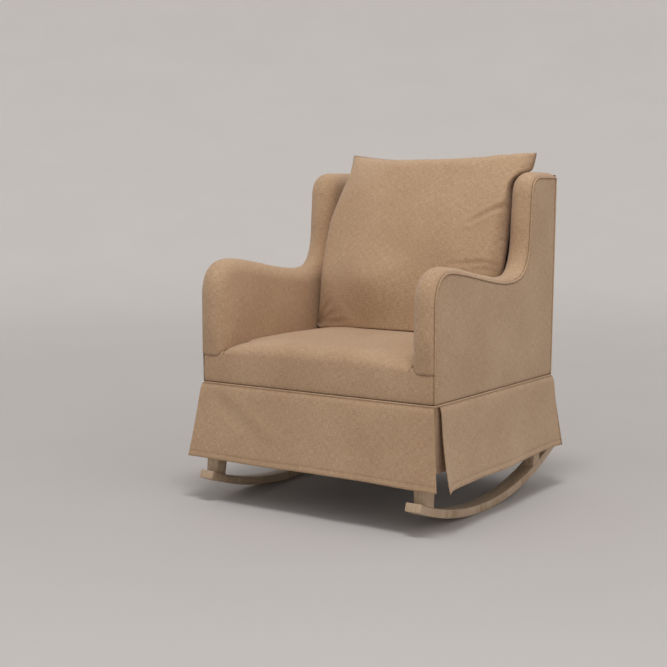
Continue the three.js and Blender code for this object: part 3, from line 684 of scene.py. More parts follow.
def stretch(piece, coordinates):
    """Prints a panel's cut size and area. The panel is pulled flat over the frame, and its cut size is its
    outline with a turning all round.
    """
    size = (np.ptp(coordinates, axis=0) + 2 * TURNING) * MM
    turned = 2 * size.sum() * TURNING * MM
    area = min(sum(face.area for face in piece.data.polygons) + turned, size.prod())
    print(f"{piece.name}: cut {size[0]:.3f} x {size[1]:.3f} m, {area:.3f} m2")


def outside_arm(side):
    inset = 2 * PIPING_R + 0.2
    lead = np.array([[0.6, z] for z in np.linspace(WELT_Z + 3.4, BORDER_Z - 6, 12)])
    lead_out = np.tile([-1.0, 0.0], (len(lead), 1))
    path = np.concatenate([lead, side_seam - seam_out * inset * ease(seam_run / 14)[:, None]])
    out = np.concatenate([lead_out, seam_out])
    path[:, 0] = np.minimum(path[:, 0], back_line(path[:, 1]) - inset - 2)
    stations = np.concatenate([lead[:, 1] - BORDER_Z, seam_run])
    bottom = WELT_Z + 3.4
    knots = [
        (bottom - BORDER_Z, (6, bottom)), (0, (40, bottom)), (seam_run[26], (90, bottom)),
        (seam_run[np.argmin(np.abs(side_seam[:, 0] - 384))], (440, bottom)),
        (seam_run[np.argmin(np.abs(side_seam[:, 0] - 512))], (back_line(bottom) - inset - 2, bottom)),
        (seam_run[-18], (back_line(720) - inset - 2, 720)),
        (seam_run[-1], (back_line(860) - inset - 2, 866)),
    ]
    known = [station for station, _ in knots]
    inside = np.stack([np.interp(stations, known, [p[i] for _, p in knots]) for i in (0, 1)], axis=1)
    ts = np.concatenate([[0, 0.008, 0.02, 0.04], np.linspace(0.07, 0.93, 22), [0.96, 0.98, 0.992, 1.0]])
    grid = np.zeros((len(path), len(ts), 3))
    for k, t in enumerate(ts):
        grid[:, k, 1:] = path * (1 - t) + inside * t
    y, z = grid[:, :, 1], grid[:, :, 2]
    length = np.linalg.norm(path - inside, axis=1)[:, None]
    from_seam = ts[None, :] * length
    to_foot = np.minimum((1 - ts)[None, :] * length, np.minimum(z - bottom, back_line(z) - inset - 2 - y))
    sink = turned_in(from_seam) + turned_in(np.maximum(to_foot, 0))
    full = 1.3 * np.clip(np.minimum(from_seam, to_foot) / 60, 0, 1)
    lump = drift(grid.reshape(-1, 3), 150, 31 + side).reshape(y.shape) * 0.7
    face_x = PANEL_X + 0.4
    grid[:, :, 0] = side * (face_x - np.minimum(sink, 3.0) + full + lump * np.clip(from_seam / 30, 0, 1))
    coordinates = np.stack([y, z], axis=2).reshape(-1, 2)
    grid[:, :, 1] += FRONT
    # painted shade for the cloth's colour beside the sewn edges
    seam = 1 - np.minimum(from_seam, np.maximum(to_foot, 0)) / SEAM_SHADE
    piece = new_piece(
        "outside_arm_" + hand(side), grid.reshape(-1, 3), grid_faces(*y.shape), linen, "chair",
        ["outside_arm_panel_" + hand(side)], coordinates, seam,
    )
    if side > 0:
        piece.data.flip_normals()
    thicken(piece, PANEL_CLOTH)
    stretch(piece, coordinates)


for side in (1, -1):
    outside_arm(side)


def outside_back():
    half = WELT_X - 2 * PIPING_R - 0.4
    low, high = WELT_Z + 3.4, 893.5
    edge = np.array([0, 0.004, 0.012, 0.024])
    spread = np.concatenate([edge, np.linspace(0.04, 0.96, 50), 1 - edge[::-1]])
    xs = half - 2 * half * spread
    zs = low + (high - low) * spread
    x, z = np.meshgrid(xs, zs)
    to_side = half - np.abs(x)
    to_end = np.minimum(z - low, high - z)
    sink = np.minimum(turned_in(to_side) + turned_in(to_end), 3)
    full = 1.4 * np.clip(np.minimum(to_side, to_end) / 70, 0, 1)
    y = back_line(z) + 0.3 - sink + full
    y += drift(np.stack([x, y, z], axis=2).reshape(-1, 3), 160, 35).reshape(x.shape) * 0.8
    grid = np.stack([x, y + FRONT, z], axis=2)
    coordinates = np.stack([x, z], axis=2).reshape(-1, 2)
    # its last argument is painted shade for the cloth's colour beside the sewn edges
    piece = new_piece(
        "outside_back", grid.reshape(-1, 3), grid_faces(*x.shape), linen, "chair",
        ["outside_back_panel"], coordinates, 1 - np.minimum(to_side, to_end) / SEAM_SHADE,
    )
    thicken(piece, PANEL_CLOTH)
    stretch(piece, coordinates)


outside_back()

# %% [markdown]
# ## Piping
# The piping is a cord in a strip of the same fabric cut on the bias, so its weave runs at 45 degrees. It
# is a tube swept along the seam. The arm's piping starts in the border seam and ends in the welt.

# %% Piping
CORD_R = PIPING_R + 0.15
CORD_SIDES = 12


def tube(name, path, radius, sides, replaced, closed=False):
    """A round cord along points in millimetres, with its weave wrapped round it."""
    path = np.asarray(path, dtype=float)
    if closed:
        forward = np.roll(path, -1, axis=0) - np.roll(path, 1, axis=0)
    else:
        forward = np.gradient(path, axis=0)
    forward /= np.linalg.norm(forward, axis=1)[:, None]
    steady = np.array([1.0, 0, 0]) if not closed else np.array([0, 0, 1.0])
    first = np.cross(forward, steady)
    first /= np.linalg.norm(first, axis=1)[:, None]
    second = np.cross(forward, first)
    angles = np.linspace(0, 2 * math.pi, sides, endpoint=False)
    ring = first[:, None, :] * np.cos(angles)[:, None] + second[:, None, :] * np.sin(angles)[:, None]
    run = np.r_[0, np.cumsum(np.linalg.norm(np.diff(path, axis=0), axis=1))]
    swell = radius * (1 + 0.035 * np.sin(run / 9.0))[:, None, None]
    grid = path[:, None, :] + ring * swell
    if closed:
        grid = np.concatenate([grid, grid[:1]])
        run = np.r_[run, run[-1] + np.linalg.norm(path[0] - path[-1])]
    rows = len(grid)
    faces = grid_faces(rows, sides, around=True)
    points = grid.reshape(-1, 3)
    if closed:
        total = (rows - 1) * sides
        faces = [tuple(v % total for v in f) for f in faces]
        points = points[:total]
        run = run[:-1]
    else:
        faces += [tuple(range(sides))[::-1], tuple(range((rows - 1) * sides, rows * sides))]
    u, v = np.meshgrid(np.abs(np.arange(sides) - sides / 2) * radius * 2 * math.pi / sides, run)
    coordinates = np.stack([u, v], axis=2).reshape(-1, 2)
    piece = new_piece(name, points, faces, linen_bias_painted_lighter, "chair", replaced, coordinates)
    turn_outwards(piece)


def arm_piping(side):
    line = side_seam - seam_out * (PIPING_R + 0.1)
    corner_y = back_line(WING_SEAM_Z) - 2.3 - PIPING_R
    line = line[line[:, 0] < corner_y - 8]
    top = line[-1, 1]
    angles = np.linspace(0.15, 1.57, 7)
    turn = np.column_stack([corner_y - 6 + 6 * np.sin(angles), top - 6 + 6 * np.cos(angles)])
    zs = np.linspace(top - 14, WELT_Z + 2.6, 90)
    down = np.column_stack([[back_line(z) - 2.3 - PIPING_R for z in zs], zs])
    start = np.array([[line[0, 0] + 1.5, BORDER_Z + 0.5]])
    yz = np.concatenate([start, line[1:], turn, down])
    path = np.column_stack([np.full(len(yz), side * (WELT_X - PIPING_R)), yz[:, 0] + FRONT, yz[:, 1]])
    tube("arm_piping_round_" + hand(side), path, CORD_R, CORD_SIDES, ["arm_piping_" + hand(side)])


for side in (1, -1):
    arm_piping(side)


def corner_path(half_x, y0, y1, radius, z):
    points = []
    corners = [((half_x - radius, y0 + radius), -90), ((half_x - radius, y1 - radius), 0),
               ((-half_x + radius, y1 - radius), 90), ((-half_x + radius, y0 + radius), 180)]
    for (cx, cy), start in corners:
        for a in np.radians(np.linspace(start, start + 90, 7)):
            points.append((cx + radius * math.cos(a), cy + radius * math.sin(a), z))
    points.append(points[0])
    return resample(points, 6.0)[0][:-1]


welt_path = corner_path(WELT_X - PIPING_R, welt_low[1] + PIPING_R, welt_high[1] - PIPING_R, 7, WELT_Z)
tube("skirt_welt_round", welt_path, CORD_R, CORD_SIDES, ["skirt_piping"], closed=True)

# %% [markdown]
# ## The skirt
# Four lined panels hang from the welt, with open pleats at the corners and a separate flap behind each
# pleat. Each panel swells out just under the welt, where its turned-in top is thick, then falls with a
# slight flare in a few soft folds that grow towards the hem.

# %% Skirt panels
FLAP_HEM_Z = 157


def folds(along, down, seed):
    """Soft folds in millimetres: long waves that grow downwards, with a few diagonal pulls."""
    wave = 2.2 * np.sin(along / 47.0 + seed) * np.sin(along / 131.0 + 2.1 * seed)
    diagonal = 1.4 * np.sin((along + 90 * down) / 38.0 + 3.3 * seed) * np.sin(along / 170.0 + seed)
    return (wave + diagonal) * down**1.3


STITCH_LINE = 0.925  # where the hem is stitched, as a share of the drop


def skirt_panel(name, node, top, hem, outwards, seed, curl=(0, 0), hem_z=(120, 120), pulls=0.0):
    """top and hem are the panel's two ends. curl lifts its first and last edge outwards at the hem. pulls
    are the diagonal folds that start near its first end, where the cloth is pulled round the corner."""
    top, hem = np.array(top, dtype=float), np.array(hem, dtype=float)
    width = np.linalg.norm(top[1] - top[0])
    across = np.concatenate([[0, 0.002, 0.006], np.linspace(0.012, 0.988, 84), [0.994, 0.998, 1]])
    top_z = WELT_Z - PIPING_R + 0.6
    downs = np.concatenate([
        np.linspace(0, 0.12, 9), np.linspace(0.15, 0.9, 22),
        [0.915, STITCH_LINE, 0.935, 0.95, 0.975, 1.0],
    ])
    bottom = hem_z[0] + (hem_z[1] - hem_z[0]) * across
    outwards = np.array([*outwards, 0], dtype=float)
    grid = np.zeros((len(downs), len(across), 3))
    for r, down in enumerate(downs):
        ends = top * (1 - down) + hem * down
        line = ends[0] + (ends[1] - ends[0]) * across[:, None]
        along = across * width
        near = [np.exp(-along / 26.0), np.exp(-(width - along) / 26.0)]
        push = 5.4 * (1 - math.exp(-down * 30)) * math.exp(-down * 1.8)
        push = push + folds(along, down, seed)
        push = push + 1.6 * (1 - math.exp(-down * 20)) * (near[0] + near[1])
        push = push + (near[0] * curl[0] + near[1] * curl[1]) * down**2.2
        fall = along - 40 - 300 * down
        pull = np.sin(fall / 26.0) * np.exp(-((fall / 75.0) ** 2))
        pull = pull * math.sin(math.pi * min(1, down * 1.25))
        push = push + pulls * pull
        push = push - 0.6 * math.exp(-(((down - STITCH_LINE) / 0.012) ** 2))
        height = top_z + (bottom - top_z) * down
        lift = 1.6 * np.sin(along / 74.0 + 1.7 * seed)
        grid[r, :, :2] = line
        grid[r, :, 2] = height + lift * down**2
        grid[r] += outwards * np.broadcast_to(push, along.shape)[:, None]
    grid[:, :, 1] += FRONT
    # painted shade for the cloth's colour: just under the welt and along the hem's stitch line
    shade_under_welt = np.clip(1 - (top_z - grid[:, :, 2]) / 5.0, 0, 1)
    stitch_line_shade = 0.35 * np.exp(-(((downs - STITCH_LINE) / 0.008) ** 2))[:, None] * np.ones(len(across))
    piece = new_piece(
        name, grid.reshape(-1, 3), grid_faces(*grid.shape[:2]), linen, "chair", [node],
        arc_map(grid), np.maximum(shade_under_welt, stitch_line_shade),
    )
    normal = np.cross(grid[5, 6] - grid[5, 5], grid[6, 5] - grid[5, 5])
    if np.dot(normal, outwards) < 0:
        piece.data.flip_normals()
    thicken(piece, SKIRT_CLOTH)


REAR_Y = WELT_REAR - 3
skirt_panel(
    "skirt_panel_front", "skirt_front", [(-WELT_X + 1.5, -1), (WELT_X - 1.5, -1)],
    [(-WELT_X - 24, -30), (WELT_X + 24, -30)], (0, -1), 1.0, curl=(4, 3), pulls=2.6,
)
skirt_panel(
    "skirt_panel_back", "skirt_back", [(WELT_X - 1.5, REAR_Y + 1), (-WELT_X + 1.5, REAR_Y + 1)],
    [(WELT_X + 22, REAR_Y + 29), (-WELT_X - 22, REAR_Y + 29)], (0, 1), 2.4, curl=(5, 3), pulls=1.2,
)
skirt_panel(
    "skirt_panel_side_left", "skirt_side_left", [(WELT_X - 0.5, 23), (WELT_X - 0.5, REAR_Y + 1)],
    [(WELT_X + 26, 9), (WELT_X + 18, REAR_Y + 20)], (1, 0), 3.9, curl=(16, 4), hem_z=(111, 120),
)
skirt_panel(
    "skirt_panel_side_right", "skirt_side_right", [(-WELT_X + 0.5, 23), (-WELT_X + 0.5, REAR_Y + 1)],
    [(-WELT_X - 26, 9), (-WELT_X - 18, REAR_Y + 20)], (-1, 0), 5.2, curl=(12, 4), hem_z=(114, 120),
)


def pleat_flap(side, rear):
    """One strip folded round the corner behind the pleat, its hem a little higher than the panels'."""
    reach, hem_z = 60, FLAP_HEM_Z
    top_z = WELT_Z - PIPING_R + 0.2
    sign = -1 if rear else 1
    base = REAR_Y if rear else 0

    def corner_line(x_out, y_out):
        points = [(x_out - reach, y_out), (x_out - 5, y_out)]
        for a in np.radians(np.linspace(-90, 0, 7)):
            points.append((x_out - 5 + 5 * math.cos(a), y_out + 5 + 5 * math.sin(a)))
        points.append((x_out, y_out + reach))
        return resample(points, 4.0)[0]

    tops, hems = corner_line(WELT_X - 4.6, 3), corner_line(WELT_X + 3, -9)
    count = min(len(tops), len(hems))
    tops, hems = tops[:count], hems[:count]
    downs = np.concatenate([np.linspace(0, 0.9, 20), [0.92, 0.935, 0.95, 0.97, 0.985, 1.0]])
    grid = np.zeros((len(downs), count, 3))
    centre = np.array([WELT_X - reach, reach])
    for r, down in enumerate(downs):
        line = tops * (1 - down) + hems * down
        away = line - centre
        away /= np.linalg.norm(away, axis=1)[:, None]
        dip = -0.6 * math.exp(-(((down - 0.935) / 0.012) ** 2))
        wave = 1.0 * np.sin(np.linspace(0, 5, count) + rear + side) * down
        line = line + away * (dip + wave)[:, None]
        grid[r, :, 0] = side * line[:, 0]
        grid[r, :, 1] = base + sign * line[:, 1] + FRONT
        grid[r, :, 2] = top_z + (hem_z - top_z) * down
    end = "rear" if rear else "front"
    piece = new_piece(
        f"{end}_pleat_underlay_{hand(side)}", grid.reshape(-1, 3), grid_faces(*grid.shape[:2]), linen_lined_painted_shade,
        "chair", [f"{end}_pleat_flap_{hand(side)}"], arc_map(grid),
    )
    if (side > 0) == (not rear):
        piece.data.flip_normals()
    thicken(piece, FLAP_CLOTH)


for side in (1, -1):
    pleat_flap(side, rear=False)
    pleat_flap(side, rear=True)

# %% [markdown]
# ## Legs and runners
# The runners are bent to an arc of one radius and their edges are eased by 2 mm. The legs taper a
# little towards the runner. Both are swept from a rounded section, which keeps the eased edges even.

# %% Legs and runners
def rounded_ring(half_w, half_d, radius, steps=4):
    points = []
    for cx, cy, start in ((1, 1, 0), (-1, 1, 90), (-1, -1, 180), (1, -1, 270)):
        for a in np.radians(np.linspace(start, start + 90, steps)):
            x = cx * (half_w - radius) + radius * math.cos(a)
            y = cy * (half_d - radius) + radius * math.sin(a)
            points.append((x, y))
    return np.array(points)


NEXT_BOARD = 700  # each piece takes its grain from its own stretch of board
sawn = []


def swept(name, rings, material, replaced):
    grid = np.stack(rings)
    rows, count = grid.shape[:2]
    faces = grid_faces(rows, count, around=True)
    faces += [tuple(range(count))[::-1], tuple(range((rows - 1) * count, rows * count))]
    length = np.r_[0, np.cumsum(np.linalg.norm(np.diff(grid.mean(axis=1), axis=0), axis=1))]
    girth = np.r_[0, np.cumsum(np.linalg.norm(np.diff(grid[rows // 2], axis=0), axis=1))]
    u, v = np.meshgrid(np.abs(girth - girth[-1] / 2), length)
    coordinates = np.stack([u + NEXT_BOARD * len(sawn), v], axis=2).reshape(-1, 2)
    sawn.append(name)
    piece = new_piece(name, grid.reshape(-1, 3), faces, material, "chair", replaced, coordinates)
    turn_outwards(piece)
    crisp = piece.modifiers.new("crisp edges", "EDGE_SPLIT")
    crisp.split_angle = math.radians(42)


RUNNER_FRONT = -40
RUNNER_REAR = 750
ARC_STEPS = 90


def runner(side):
    angles = [math.asin((y - RUNNER_CONTACT) / RUNNER_R) for y in (RUNNER_FRONT, RUNNER_REAR)]
    middle_x = side * (RUNNER_OUT - RUNNER_W / 2)
    rings = []
    inset = 2.0 / RUNNER_R
    eased = np.array([0, 0.3, 1]) * inset
    stations = np.concatenate([
        angles[0] + eased, np.linspace(angles[0] + 3 * inset, angles[1] - 3 * inset, ARC_STEPS),
        angles[1] - eased[::-1],
    ])
    shrinks = [2.0, 0.6, 0.0] + [0.0] * ARC_STEPS + [0.0, 0.6, 2.0]
    for angle, shrink in zip(stations, shrinks):
        ring = rounded_ring(RUNNER_W / 2 - shrink, RUNNER_T / 2 - shrink, 2.2)
        radius = RUNNER_R - RUNNER_T / 2 - ring[:, 1]
        rings.append(np.column_stack([
            middle_x + ring[:, 0], from_front(RUNNER_CONTACT) + radius * math.sin(angle),
            RUNNER_R - radius * math.cos(angle),
        ]))
    swept("bent_runner_" + hand(side), rings, ash_bent, ["runner_" + hand(side)])


def runner_top(y):
    return RUNNER_R - math.sqrt((RUNNER_R - RUNNER_T) ** 2 - (y - RUNNER_CONTACT) ** 2)


LEGS = {"front": ((-8, 31), (8, 48)), "rear": ((595, 632), (600, 641))}


def leg(side, end):
    low, high = LEGS[end]
    middle_x = RUNNER_OUT - RUNNER_W / 2
    top_z = box_mm(f"{end}_leg_left")[1][2]
    rings = []
    for t in (0, 0.02, 0.12, 0.22, 0.3, 0.34, 0.38, 0.6, 1):
        front, rear = (low[k] * (1 - t) + high[k] * t for k in (0, 1))
        ring = rounded_ring(RUNNER_W / 2, (rear - front) / 2, 2.4)
        ring[:, 0] += 8 * (1 - ease(t / 0.36)) * (0.5 - ring[:, 0] / RUNNER_W)
        ys = (front + rear) / 2 + ring[:, 1]
        foot = np.array([runner_top(y) for y in ys]) + 0.2
        zs = foot * (1 - t) + top_z * t
        rings.append(np.column_stack([side * (middle_x + ring[:, 0]), ys + FRONT, zs]))
    swept(f"{end}_leg_tapered_{hand(side)}", rings, ash, [f"{end}_leg_{hand(side)}"])


for side in (1, -1):
    runner(side)
for side in (1, -1):
    for end in LEGS:
        leg(side, end)

# %% [markdown]
# ## The loose back cushion
# It is a knife-edge cushion: two panels of cloth sewn together round the rim and filled. Two flat layers
# are joined at the rim and inflated as cloth, which gives the pointed corners, the sides that pull in and
# the small puckers along the seam. Then it is fitted into the space it has between the wings.

# %% Cushion
CUSHION_W, CUSHION_H = 586, 512
CUSHION_TILT = math.radians(17.5)
CUSHION_FOOT = np.array([from_front(450), 463])
half_h = CUSHION_H / 2
CUSHION_CENTRE = CUSHION_FOOT + half_h * np.array([math.sin(CUSHION_TILT), math.cos(CUSHION_TILT)])
FLAT_W, FLAT_H = 632, 560
CELL = 7.0
# Each fold is (start, end, depth, width) on the cushion's front, in millimetres from its middle
FOLDS = [
    ((292, 92), (205, 34), 6.0, 8.0),  # from where the left wing presses in
    ((290, -76), (170, -86), 3.5, 6.0), ((296, -92), (236, -98), 3.0, 5.0),  # above the left arm
    ((-285, -258), (-214, -206), 5.0, 7.0), ((-280, -262), (-180, -236), 4.5, 6.5),  # from the lower corner
    ((-276, -268), (-140, -264), 3.5, 6.5),
    ((-127, 250), (-124, 218), 3.0, 6.0), ((14, 250), (18, 216), 3.0, 6.0),  # at the top seam
    ((330, 252), (282, 226), 4.0, 7.0), ((325, 215), (288, 205), 3.0, 6.0),  # in the corner over the wing
]


def sewn_layers(width, height):
    """Two flat layers that share their rim, with the front layer first."""
    nx, nz = int(round(width / CELL)), int(round(height / CELL))
    xs, zs = np.linspace(-width / 2, width / 2, nx + 1), np.linspace(-height / 2, height / 2, nz + 1)
    points, index = [], [{}, {}]
    for layer in (0, 1):
        for j, z in enumerate(zs):
            for i, x in enumerate(xs):
                rim = i in (0, nx) or j in (0, nz)
                if layer and rim:
                    index[1][i, j] = index[0][i, j]
                    continue
                index[layer][i, j] = len(points)
                swell = (1 - (2 * x / width) ** 2) * (1 - (2 * z / height) ** 2)
                points.append((x, (-1 if layer == 0 else 1) * (0 if rim else 2 + 14 * swell), z))
    faces = []
    for layer in (0, 1):
        for j in range(nz):
            for i in range(nx):
                quad = [index[layer][k] for k in ((i, j), (i + 1, j), (i + 1, j + 1), (i, j + 1))]
                faces.append(tuple(quad if layer == 0 else quad[::-1]))
    rim = {index[0][i, j] for i in range(nx + 1) for j in range(nz + 1) if i in (0, nx) or j in (0, nz)}
    return np.array(points), faces, rim


def inflate(points, faces, frames=14, pressure=2.0):
    """Runs the cloth and returns where its points end, in millimetres."""
    mesh = bpy.data.meshes.new("inflating")
    mesh.from_pydata((points * MM).tolist(), [], faces)
    bag = bpy.data.objects.new("inflating", mesh)
    bpy.context.scene.collection.objects.link(bag)
    cloth = bag.modifiers.new("cloth", "CLOTH")
    cloth.settings.quality = 7
    cloth.settings.mass = 0.25
    cloth.settings.tension_stiffness = 22
    cloth.settings.compression_stiffness = 12
    cloth.settings.shear_stiffness = 4
    cloth.settings.bending_stiffness = 0.35
    cloth.settings.use_pressure = True
    cloth.settings.uniform_pressure_force = pressure
    cloth.settings.effector_weights.gravity = 0
    cloth.collision_settings.use_collision = False
    cloth.point_cache.frame_start = 1
    cloth.point_cache.frame_end = frames
    scene = bpy.context.scene
    for number in range(1, frames + 1):
        scene.frame_set(number)
    seen = bag.evaluated_get(bpy.context.evaluated_depsgraph_get())
    moved = np.empty(len(points) * 3)
    seen.data.vertices.foreach_get("co", moved)
    scene.frame_set(1)
    bpy.data.objects.remove(bag)
    return moved.reshape(-1, 3) / MM


def fold_line(x, z, start, end, width):
    """How strongly a fold shows at each place, 1 on its line and less towards its end, and how far off."""
    start, end = np.array(start, dtype=float), np.array(end, dtype=float)
    run = end - start
    t = np.clip(((x - start[0]) * run[0] + (z - start[1]) * run[1]) / (run @ run), -0.1, 1)
    away = np.hypot(x - start[0] - run[0] * t, z - start[1] - run[1] * t)
    return np.exp(-((away / width) ** 2)) * np.clip(1.15 - t, 0, 1), away


def settle(local, points, front):
    """The filling has sunk to the bottom and to the sitter's right. Folds run in from where it is held."""
    u, v = 2 * points[:, 0] / FLAT_W, 2 * points[:, 2] / FLAT_H
    off_rim = np.clip((1 - v**2) / 0.3, 0, 1) * np.clip((1 - u**2) / 0.3, 0, 1) * front
    belly = off_rim * np.exp(-(((v + 0.45) / 0.25) ** 2))
    under = np.clip((1 - v**2) / 0.1, 0, 1) * np.clip((1 - u**2) / 0.3, 0, 1)
    under = under * np.exp(-(((v + 0.86) / 0.28) ** 2)) * front
    local[:, 2] -= 0.08 * half_h * (1 - v**2) * off_rim + (48 - 12 * u) * under
    heap = 27 * np.exp(-(((u + 0.28) / 0.38) ** 2)) - 8 * np.exp(-(((u - 0.5) / 0.4) ** 2))
    local[:, 1] -= heap * belly
    local[:, 1] += 20 * under
    local[:, 2] -= 9 * np.clip(1 - (u + 0.1) ** 2 / 0.7, 0, 1) * np.clip(v, 0, 1) ** 4
    x, z = local[:, 0].copy(), local[:, 2].copy()
    shade = np.zeros(len(local))
    for start, end, depth, width in FOLDS:
        strength, away = fold_line(x, z, start, end, width)
        raised = np.exp(-(((away - 2.0 * width) / width) ** 2)) * (strength > 0.001)
        local[:, 1] += (strength * depth - raised * 0.35 * depth * strength.max()) * front
        # painted shade for the cloth's colour in each fold
        shade = np.maximum(shade, strength * front * 0.35)
    edge = np.minimum(FLAT_W / 2 - np.abs(points[:, 0]), FLAT_H / 2 - np.abs(points[:, 2]))
    along = points[:, 0] + points[:, 2]
    ripple = np.sin(along / 4.6 + 2.2 * drift(points, 60, 41)) * (0.55 + 0.45 * drift(points, 90, 42))
    local[:, 1] += 1.7 * ripple * np.exp(-edge / 15) * np.clip(edge / 5, 0, 1) * np.where(front, 1, -1)
    # returns painted shade for the cloth's colour: in the folds and beside the rim seam
    return np.maximum(shade, 1 - edge / 7.5)


def place_cushion(local, inset=0.0):
    """Leans the cushion back into the chair. Its top leans to the sitter's left, a corner over that wing."""
    x, y, z = local[:, 0], local[:, 1], local[:, 2]
    placed = np.column_stack([
        x,
        CUSHION_CENTRE[0] + y * math.cos(CUSHION_TILT) + z * math.sin(CUSHION_TILT),
        CUSHION_CENTRE[1] - y * math.sin(CUSHION_TILT) + z * math.cos(CUSHION_TILT),
    ])
    height = placed[:, 2]
    placed[:, 0] += (35 + x / 50) * ease((height - 740) / 205)
    # it lies against the wing's round shoulder, and is free above it
    reach = BAND_MIDDLE - ARM_IN
    over = np.clip((height - WING_SEAM_Z + 30) / (30 + CROWN), 0, 1)
    room = BAND_MIDDLE - 2 - inset - reach * np.sqrt(1 - over**2)
    room = room + 4 * np.clip(height - WING_SEAM_Z - CROWN, 0, 15)
    placed[:, 0] = np.clip(placed[:, 0], -ARM_IN + 2 + inset, room)
    floor = seat_top(placed[:, 0], placed[:, 1] - FRONT) + 1.5 + inset
    placed[:, 2] = np.maximum(placed[:, 2], floor)
    return placed


def back_cushion():
    points, faces, rim = sewn_layers(FLAT_W, FLAT_H)
    moved = inflate(points, faces)
    size = np.ptp(moved, axis=0)
    print("inflated cushion", [round(s) for s in size], "mm")
    u, v = 2 * points[:, 0] / FLAT_W, 2 * points[:, 2] / FLAT_H
    front = points[:, 1] < 0
    local = moved.copy()
    local[:, 0] *= (CUSHION_W + 14) / size[0]
    local[:, 2] *= np.where(v < 0, 1.055, 1) * (CUSHION_H + 8) / size[2]
    waist = np.abs(local[np.argmin(np.abs(v) + 3 * (1 - np.abs(u))), 0])
    local[:, 0] *= 1 + (296 / waist - 1) * (1 - v**2)  # pressed out against both wings
    front_depth, rear_depth = -moved[:, 1].min(), moved[:, 1].max()
    fuller = 1 - 0.32 * ease(u) + 0.35 * ease(-u)  # towards the left wing
    swell = -92 * (1 - 0.10 * v) * np.clip(-moved[:, 1] / front_depth, 0, 1) ** fuller
    local[:, 1] = np.where(moved[:, 1] < 0, swell, moved[:, 1] / rear_depth * (26 - 15 * v))
    # the zip's strip across the rear lies flat
    zip_z = 70 - CUSHION_H / 2
    near = np.clip(1.6 - np.abs(local[:, 2] - zip_z) / 14, 0, 1)
    near = near * np.clip((185 - np.abs(local[:, 0])) / 20, 0, 1)
    level = np.clip((1 - np.abs(local[:, 2] / half_h) ** 2.6), 0, 1) ** 0.62
    level = 9 + (24 - 17 * local[:, 2] / half_h) * level
    on_rear = (~front) & (np.abs(u) < 0.99)
    local[:, 1] = np.where(on_rear, local[:, 1] * (1 - near) + (level - 1.4) * near, local[:, 1])
    seam = settle(local, points, front)
    made = new_piece(
        "back_cushion_cover", place_cushion(local), faces, linen, "back_cushion",
        ["cushion_cover"], np.column_stack([points[:, 0], points[:, 2]]), seam,
    )
    turn_outwards(made)
    crease = made.data.attributes.new("crease_edge", "FLOAT", "EDGE")
    crease.data.foreach_set("value", [0.75 if set(e.vertices) <= rim else 0.0 for e in made.data.edges])
    round_off(made)
    filling_bag(local, faces)


def round_off(piece):
    smooth = piece.modifiers.new("rounder cloth", "SUBSURF")
    smooth.levels = smooth.render_levels = 1


def filling_bag(local, faces):
    """The white inner bag lies just inside the cover all round."""
    inner = local * (0.94, 1, 0.94)
    inner[:, 1] = np.sign(local[:, 1]) * np.maximum(np.abs(local[:, 1]) * 0.97 - 5, 0)
    bag = new_piece(
        "cushion_filling_bag", place_cushion(inner, 4.0), faces, cambric, "back_cushion",
        ["cushion_insert"],
    )
    turn_outwards(bag)
    round_off(bag)


back_cushion()

# %% [markdown]
# ## Finishes on the parts that stay as they are
# The frame, the springs and the padding keep their own shapes and only need their real surfaces.

# %% Finishes for the frame's own nodes
FINISHES = {
    "front_seat_rail rear_seat_rail side_seat_rail_left side_seat_rail_right front_corner_block_left "
    "front_corner_block_right rear_corner_block_left rear_corner_block_right back_post_left back_post_right "
    "back_top_rail back_lower_rail": beech,
    "side_panel_left side_panel_right": plywood,
    "seat_foam seat_border_pad back_foam": foam,
    "seat_insulator": felt,
    "back_webbing": webbing,
    "seat_spring_1 seat_spring_2 seat_spring_3 seat_spring_4 seat_spring_5": spring_steel,
    "front_runner_screw_left front_runner_screw_right rear_runner_screw_left "
    "rear_runner_screw_right zip_slider": zinc,
    "dust_cover": dust_cloth,
    "cushion_zip": zip_tape,
}
finished = 0
for names, material in FINISHES.items():
    for name in names.split():
        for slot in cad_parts[name].material_slots:
            slot.material = material
        finished += 1
print(finished, "nodes finished")

# %% [markdown]
# ## Floor and light
# A pale sweep runs up all round, so that no edge shows behind the chair from any side. Its colour is
# painted lighter with distance from the chair: painted shade on the floor near the chair and painted light
# on the far wall, evening out the light each gets. The key light hangs high overhead, a little in front
# and to the sitter's left. Two large weak lights fill in, from the front and from that side, under an even
# sky.

# %% Floor, light and camera
sweep_rows = []
for radius, height in [(0, 0), (1.2, 0), (3.0, 0), (5.0, 0)]:
    sweep_rows.append((radius, height))
for a in np.radians(np.linspace(10, 90, 9)):
    sweep_rows.append((5.0 + 2.5 * math.sin(a), 2.5 - 2.5 * math.cos(a)))
sweep_rows.append((7.5, 5.5))
turns = np.linspace(0, 2 * math.pi, 73)[:-1]
sweep_points = []
for radius, height in sweep_rows[1:]:
    for a in turns:
        sweep_points.append((radius * math.cos(a) / MM, radius * math.sin(a) / MM, height / MM - 0.2))
sweep_faces = [f[::-1] for f in grid_faces(len(sweep_rows) - 1, len(turns), around=True)]
sweep_faces.append(tuple(range(len(turns))))
sweep = bpy.data.meshes.new("studio_sweep")
sweep.from_pydata((np.array(sweep_points) * MM).tolist(), [], sweep_faces)
sweep.polygons.foreach_set("use_smooth", [True] * len(sweep.polygons))
floor = bpy.data.objects.new("studio_sweep", sweep)
bpy.context.scene.collection.objects.link(floor)
paint, tree, shader = new_material("emulsion_paint_warm_grey", Roughness=0.9, IOR=1.5)
place = add(tree, "TexCoord").outputs["Object"]
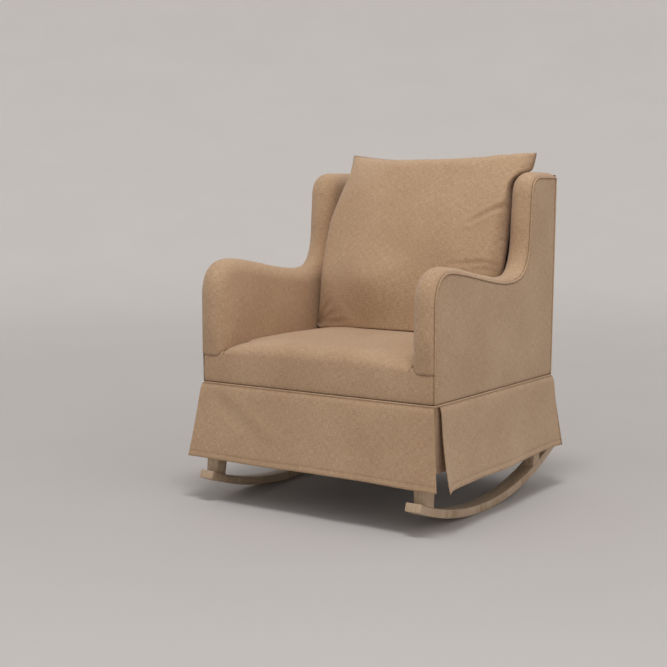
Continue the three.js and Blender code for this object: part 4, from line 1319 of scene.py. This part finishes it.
far = add(tree, "VectorMath", {0: place}, operation="LENGTH").outputs["Value"]
far = math_node(tree, "DIVIDE", math_node(tree, "SUBTRACT", far, 1.0), 6.0, clamp=True)
roller = add(tree, "TexNoise", {"Scale": 25.0, "Detail": 2.0}).outputs["Fac"]  # 40 mm orange peel
# painted light: darker near the chair and lighter farther out and up the wall
painted_light_grade = ramp(tree, far, (0.0, "#c4c1c0"), (0.3, "#d6d3d1"), (0.85, "#f4f1ef"))
peel = ramp(tree, roller, (0.3, "#fafafa"), (0.7, "#ffffff"))
tree.links.new(mix(tree, "MULTIPLY", 0.5, painted_light_grade, peel), shader.inputs["Base Color"])
sweep.materials.append(paint)


def softbox(name, place, target, size, power, colour):
    data = bpy.data.lights.new(name, "AREA")
    data.shape = "RECTANGLE"
    data.size, data.size_y = size
    data.energy = power
    data.color = linear(colour)[:3]
    made = bpy.data.objects.new(name, data)
    made.location = place
    made.rotation_euler = (Vector(target) - Vector(place)).to_track_quat("-Z", "Y").to_euler()
    bpy.context.scene.collection.objects.link(made)


softbox("key_softbox", (0.8, -1.2, 4.8), (0, 0, 0.4), (1.3, 1.1), 88, "#fffdfa")
softbox("front_softbox", (0.5, -4.8, 1.9), (0, 0, 0.4), (3.4, 2.4), 8, "#fffdfa")
softbox("side_softbox", (4.6, -0.8, 1.9), (0, 0, 0.4), (3.0, 2.4), 18, "#fffdfa")
world = bpy.data.worlds.new("soft_sky")
bpy.context.scene.world = world
world.use_nodes = True
sky = world.node_tree.nodes["Background"]
sky.inputs["Color"].default_value = linear("#f2f0ee")
sky.inputs["Strength"].default_value = 0.62

camera_data = bpy.data.cameras.new("camera")
camera_data.lens = 69.57
camera_data.sensor_width = 36
camera = bpy.data.objects.new("camera", camera_data)
camera.location = (1.9255, -3.0570, 0.8621)
camera.rotation_euler = (math.radians(90 - 6.52), 0, math.radians(34.495))
bpy.context.scene.collection.objects.link(camera)
bpy.context.scene.camera = camera
bpy.context.scene.view_settings.view_transform = "Standard"
print("camera", [round(c, 3) for c in camera.location])
